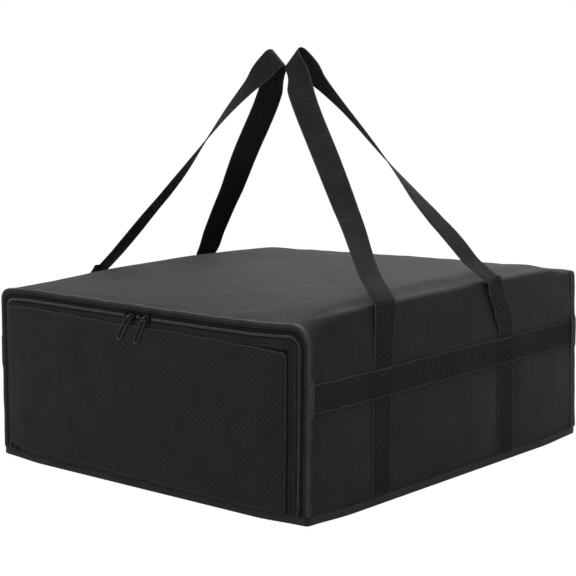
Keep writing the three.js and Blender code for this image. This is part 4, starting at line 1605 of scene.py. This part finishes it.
class PIZZABAG_OT_seams(Step, bpy.types.Operator):
    """Sews the visible seams: along the bindings, the zip tapes and the straps, and the crossed squares"""

    bl_idname = "pizza_bag.seams"
    bl_label = "Seams"

    def make(self, scene):
        front_low, front_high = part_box("front_rim_binding")
        back_low, back_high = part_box("back_rim_binding")
        out, foot = SIDE - front_high.x, front_low.z
        from_edge, face_inset = 0.0016, 0.0052
        sew("binding_seams", [
            arch_line(out, front_high.y - from_edge, foot), arch_line(out, back_low.y + from_edge, foot),
            arch_line(face_inset, front_low.y, foot, -1), arch_line(face_inset, back_high.y, foot, 1),
            ring_line(0.0, BASE_HEIGHT - 0.0018)], "bag_body")
        for name, body, places in TAPE_SEAMS:
            sew(name, [arch_line(inset, y, foot, -1) for inset, y in places], body, *TAPE_STITCH)
        for side, sign in SIDES:
            for where, middle in zip(("front", "back"), STRAP_Y):
                self.crossed_square(f"{where}_{side}", middle, sign)
            edges = [middle + shift * (WEB / 2 - 0.0028) for middle in STRAP_Y for shift in (-1, 1)]
            start, end = BASE_HEIGHT + 0.002, BAND_LOW.z - 0.001
            sew(f"strap_seams_{side}",
                [side_line((y, start), (y, end), STRAP_OUT, sign) for y in edges], "bag_body")

    def crossed_square(self, where, y, sign):
        half, z = 0.0135, BAND_LOW.z + WEB / 2
        corners = [(y + across * half, z + up * half)
                   for across, up in ((-1, -1), (1, -1), (1, 1), (-1, 1))]
        pairs = ((0, 1), (1, 2), (2, 3), (3, 0), (0, 2), (1, 3))
        lines = [side_line(corners[first], corners[last], BAND_HIGH.x, sign) for first, last in pairs]
        sew(f"crossed_square_{where}", lines, "bag_body", *SQUARE_STITCH, (f"box_stitch_{where}",))


# The lining

LINED_RUN = 1.04


class PIZZABAG_OT_lining(Step, bpy.types.Operator):
    """Makes the crinkled foil that lines the walls, the back, the base and the flap"""

    bl_idname = "pizza_bag.lining"
    bl_label = "Foil lining"

    def make(self, scene):
        inside = 0.0003
        low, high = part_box("lining_wrap")
        inset = SIDE - high.x + inside
        piece = arch_piece("lining_walls", [(inset, low.y), (inset, high.y)], 150, 80, low.z)
        self.crinkle(piece, "lining_wrap", "bag_body", (high.y - low.y, LINED_RUN))
        low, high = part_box("lining_back")
        piece = back_sheet("lining_rear", high.x, low.z, SIDE - high.x, high.y - inside, 90, 36)
        self.crinkle(piece, "lining_back", "bag_body", (high.x - low.x, high.z - low.z))
        low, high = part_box("lining_base")
        piece = level_sheet("lining_floor", "lining_base", low.z + inside, 90)
        self.crinkle(piece, "lining_base", "bag_body", (high.x - low.x, high.y - low.y))
        low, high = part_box("flap_lining")
        piece, x, z, edge = flap_sheet("lining_flap", 84, 40, inset=0.001)
        place(piece, x, rolled(edge, 0.0045, FRONT + 0.0012, FLAP_BACK + 0.0006), z)
        self.crinkle(piece, "flap_lining", "front_flap", (high.x - low.x, high.z - low.z), 0.0006)

    def crinkle(self, piece, node, body, flat, waves=0.001):
        cloud(piece, 0.03, waves, depth=3)
        thicken(piece, 0.0003)
        finish_piece(piece, body, foil(), (node,), angle=60)


# The add-on

STEPS = (
    PIZZABAG_OT_studio, PIZZABAG_OT_walls, PIZZABAG_OT_back, PIZZABAG_OT_base, PIZZABAG_OT_flap,
    PIZZABAG_OT_flap_edge, PIZZABAG_OT_hinge_strip, PIZZABAG_OT_bindings, PIZZABAG_OT_zip_tapes,
    PIZZABAG_OT_zip_coils, PIZZABAG_OT_sliders, PIZZABAG_OT_webbing, PIZZABAG_OT_loops,
    PIZZABAG_OT_seams, PIZZABAG_OT_lining,
)
GROUPS = (("bag_shape", BagShape), ("bag_finish", BagFinish), ("bag_studio", BagStudio))


class PIZZABAG_PT_panel(bpy.types.Panel):
    """Lists the bag's sizes, colours and pieces"""

    bl_idname = "PIZZABAG_PT_panel"
    bl_label = "Pizza Bag"
    bl_space_type = "VIEW_3D"
    bl_region_type = "UI"
    bl_category = "Pizza Bag"

    def draw(self, context):
        for name, group in GROUPS:
            box = self.layout.box()
            box.label(text=name.removeprefix("bag_").title())
            for setting in group.__annotations__:
                box.prop(getattr(context.scene, name), setting)
        for step in STEPS:
            self.layout.operator(step.bl_idname)


def register():
    for name, group in GROUPS:
        bpy.utils.register_class(group)
        setattr(bpy.types.Scene, name, bpy.props.PointerProperty(type=group))
    for owner in (*STEPS, PIZZABAG_PT_panel):
        bpy.utils.register_class(owner)


def unregister():
    for owner in (PIZZABAG_PT_panel, *reversed(STEPS)):
        bpy.utils.unregister_class(owner)
    for name, group in reversed(GROUPS):
        delattr(bpy.types.Scene, name)
        bpy.utils.unregister_class(group)


def main():
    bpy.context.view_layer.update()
    register()
    for step in STEPS:
        getattr(bpy.ops.pizza_bag, step.bl_idname.split(".")[1])()


if __name__ == "__main__":
    main()
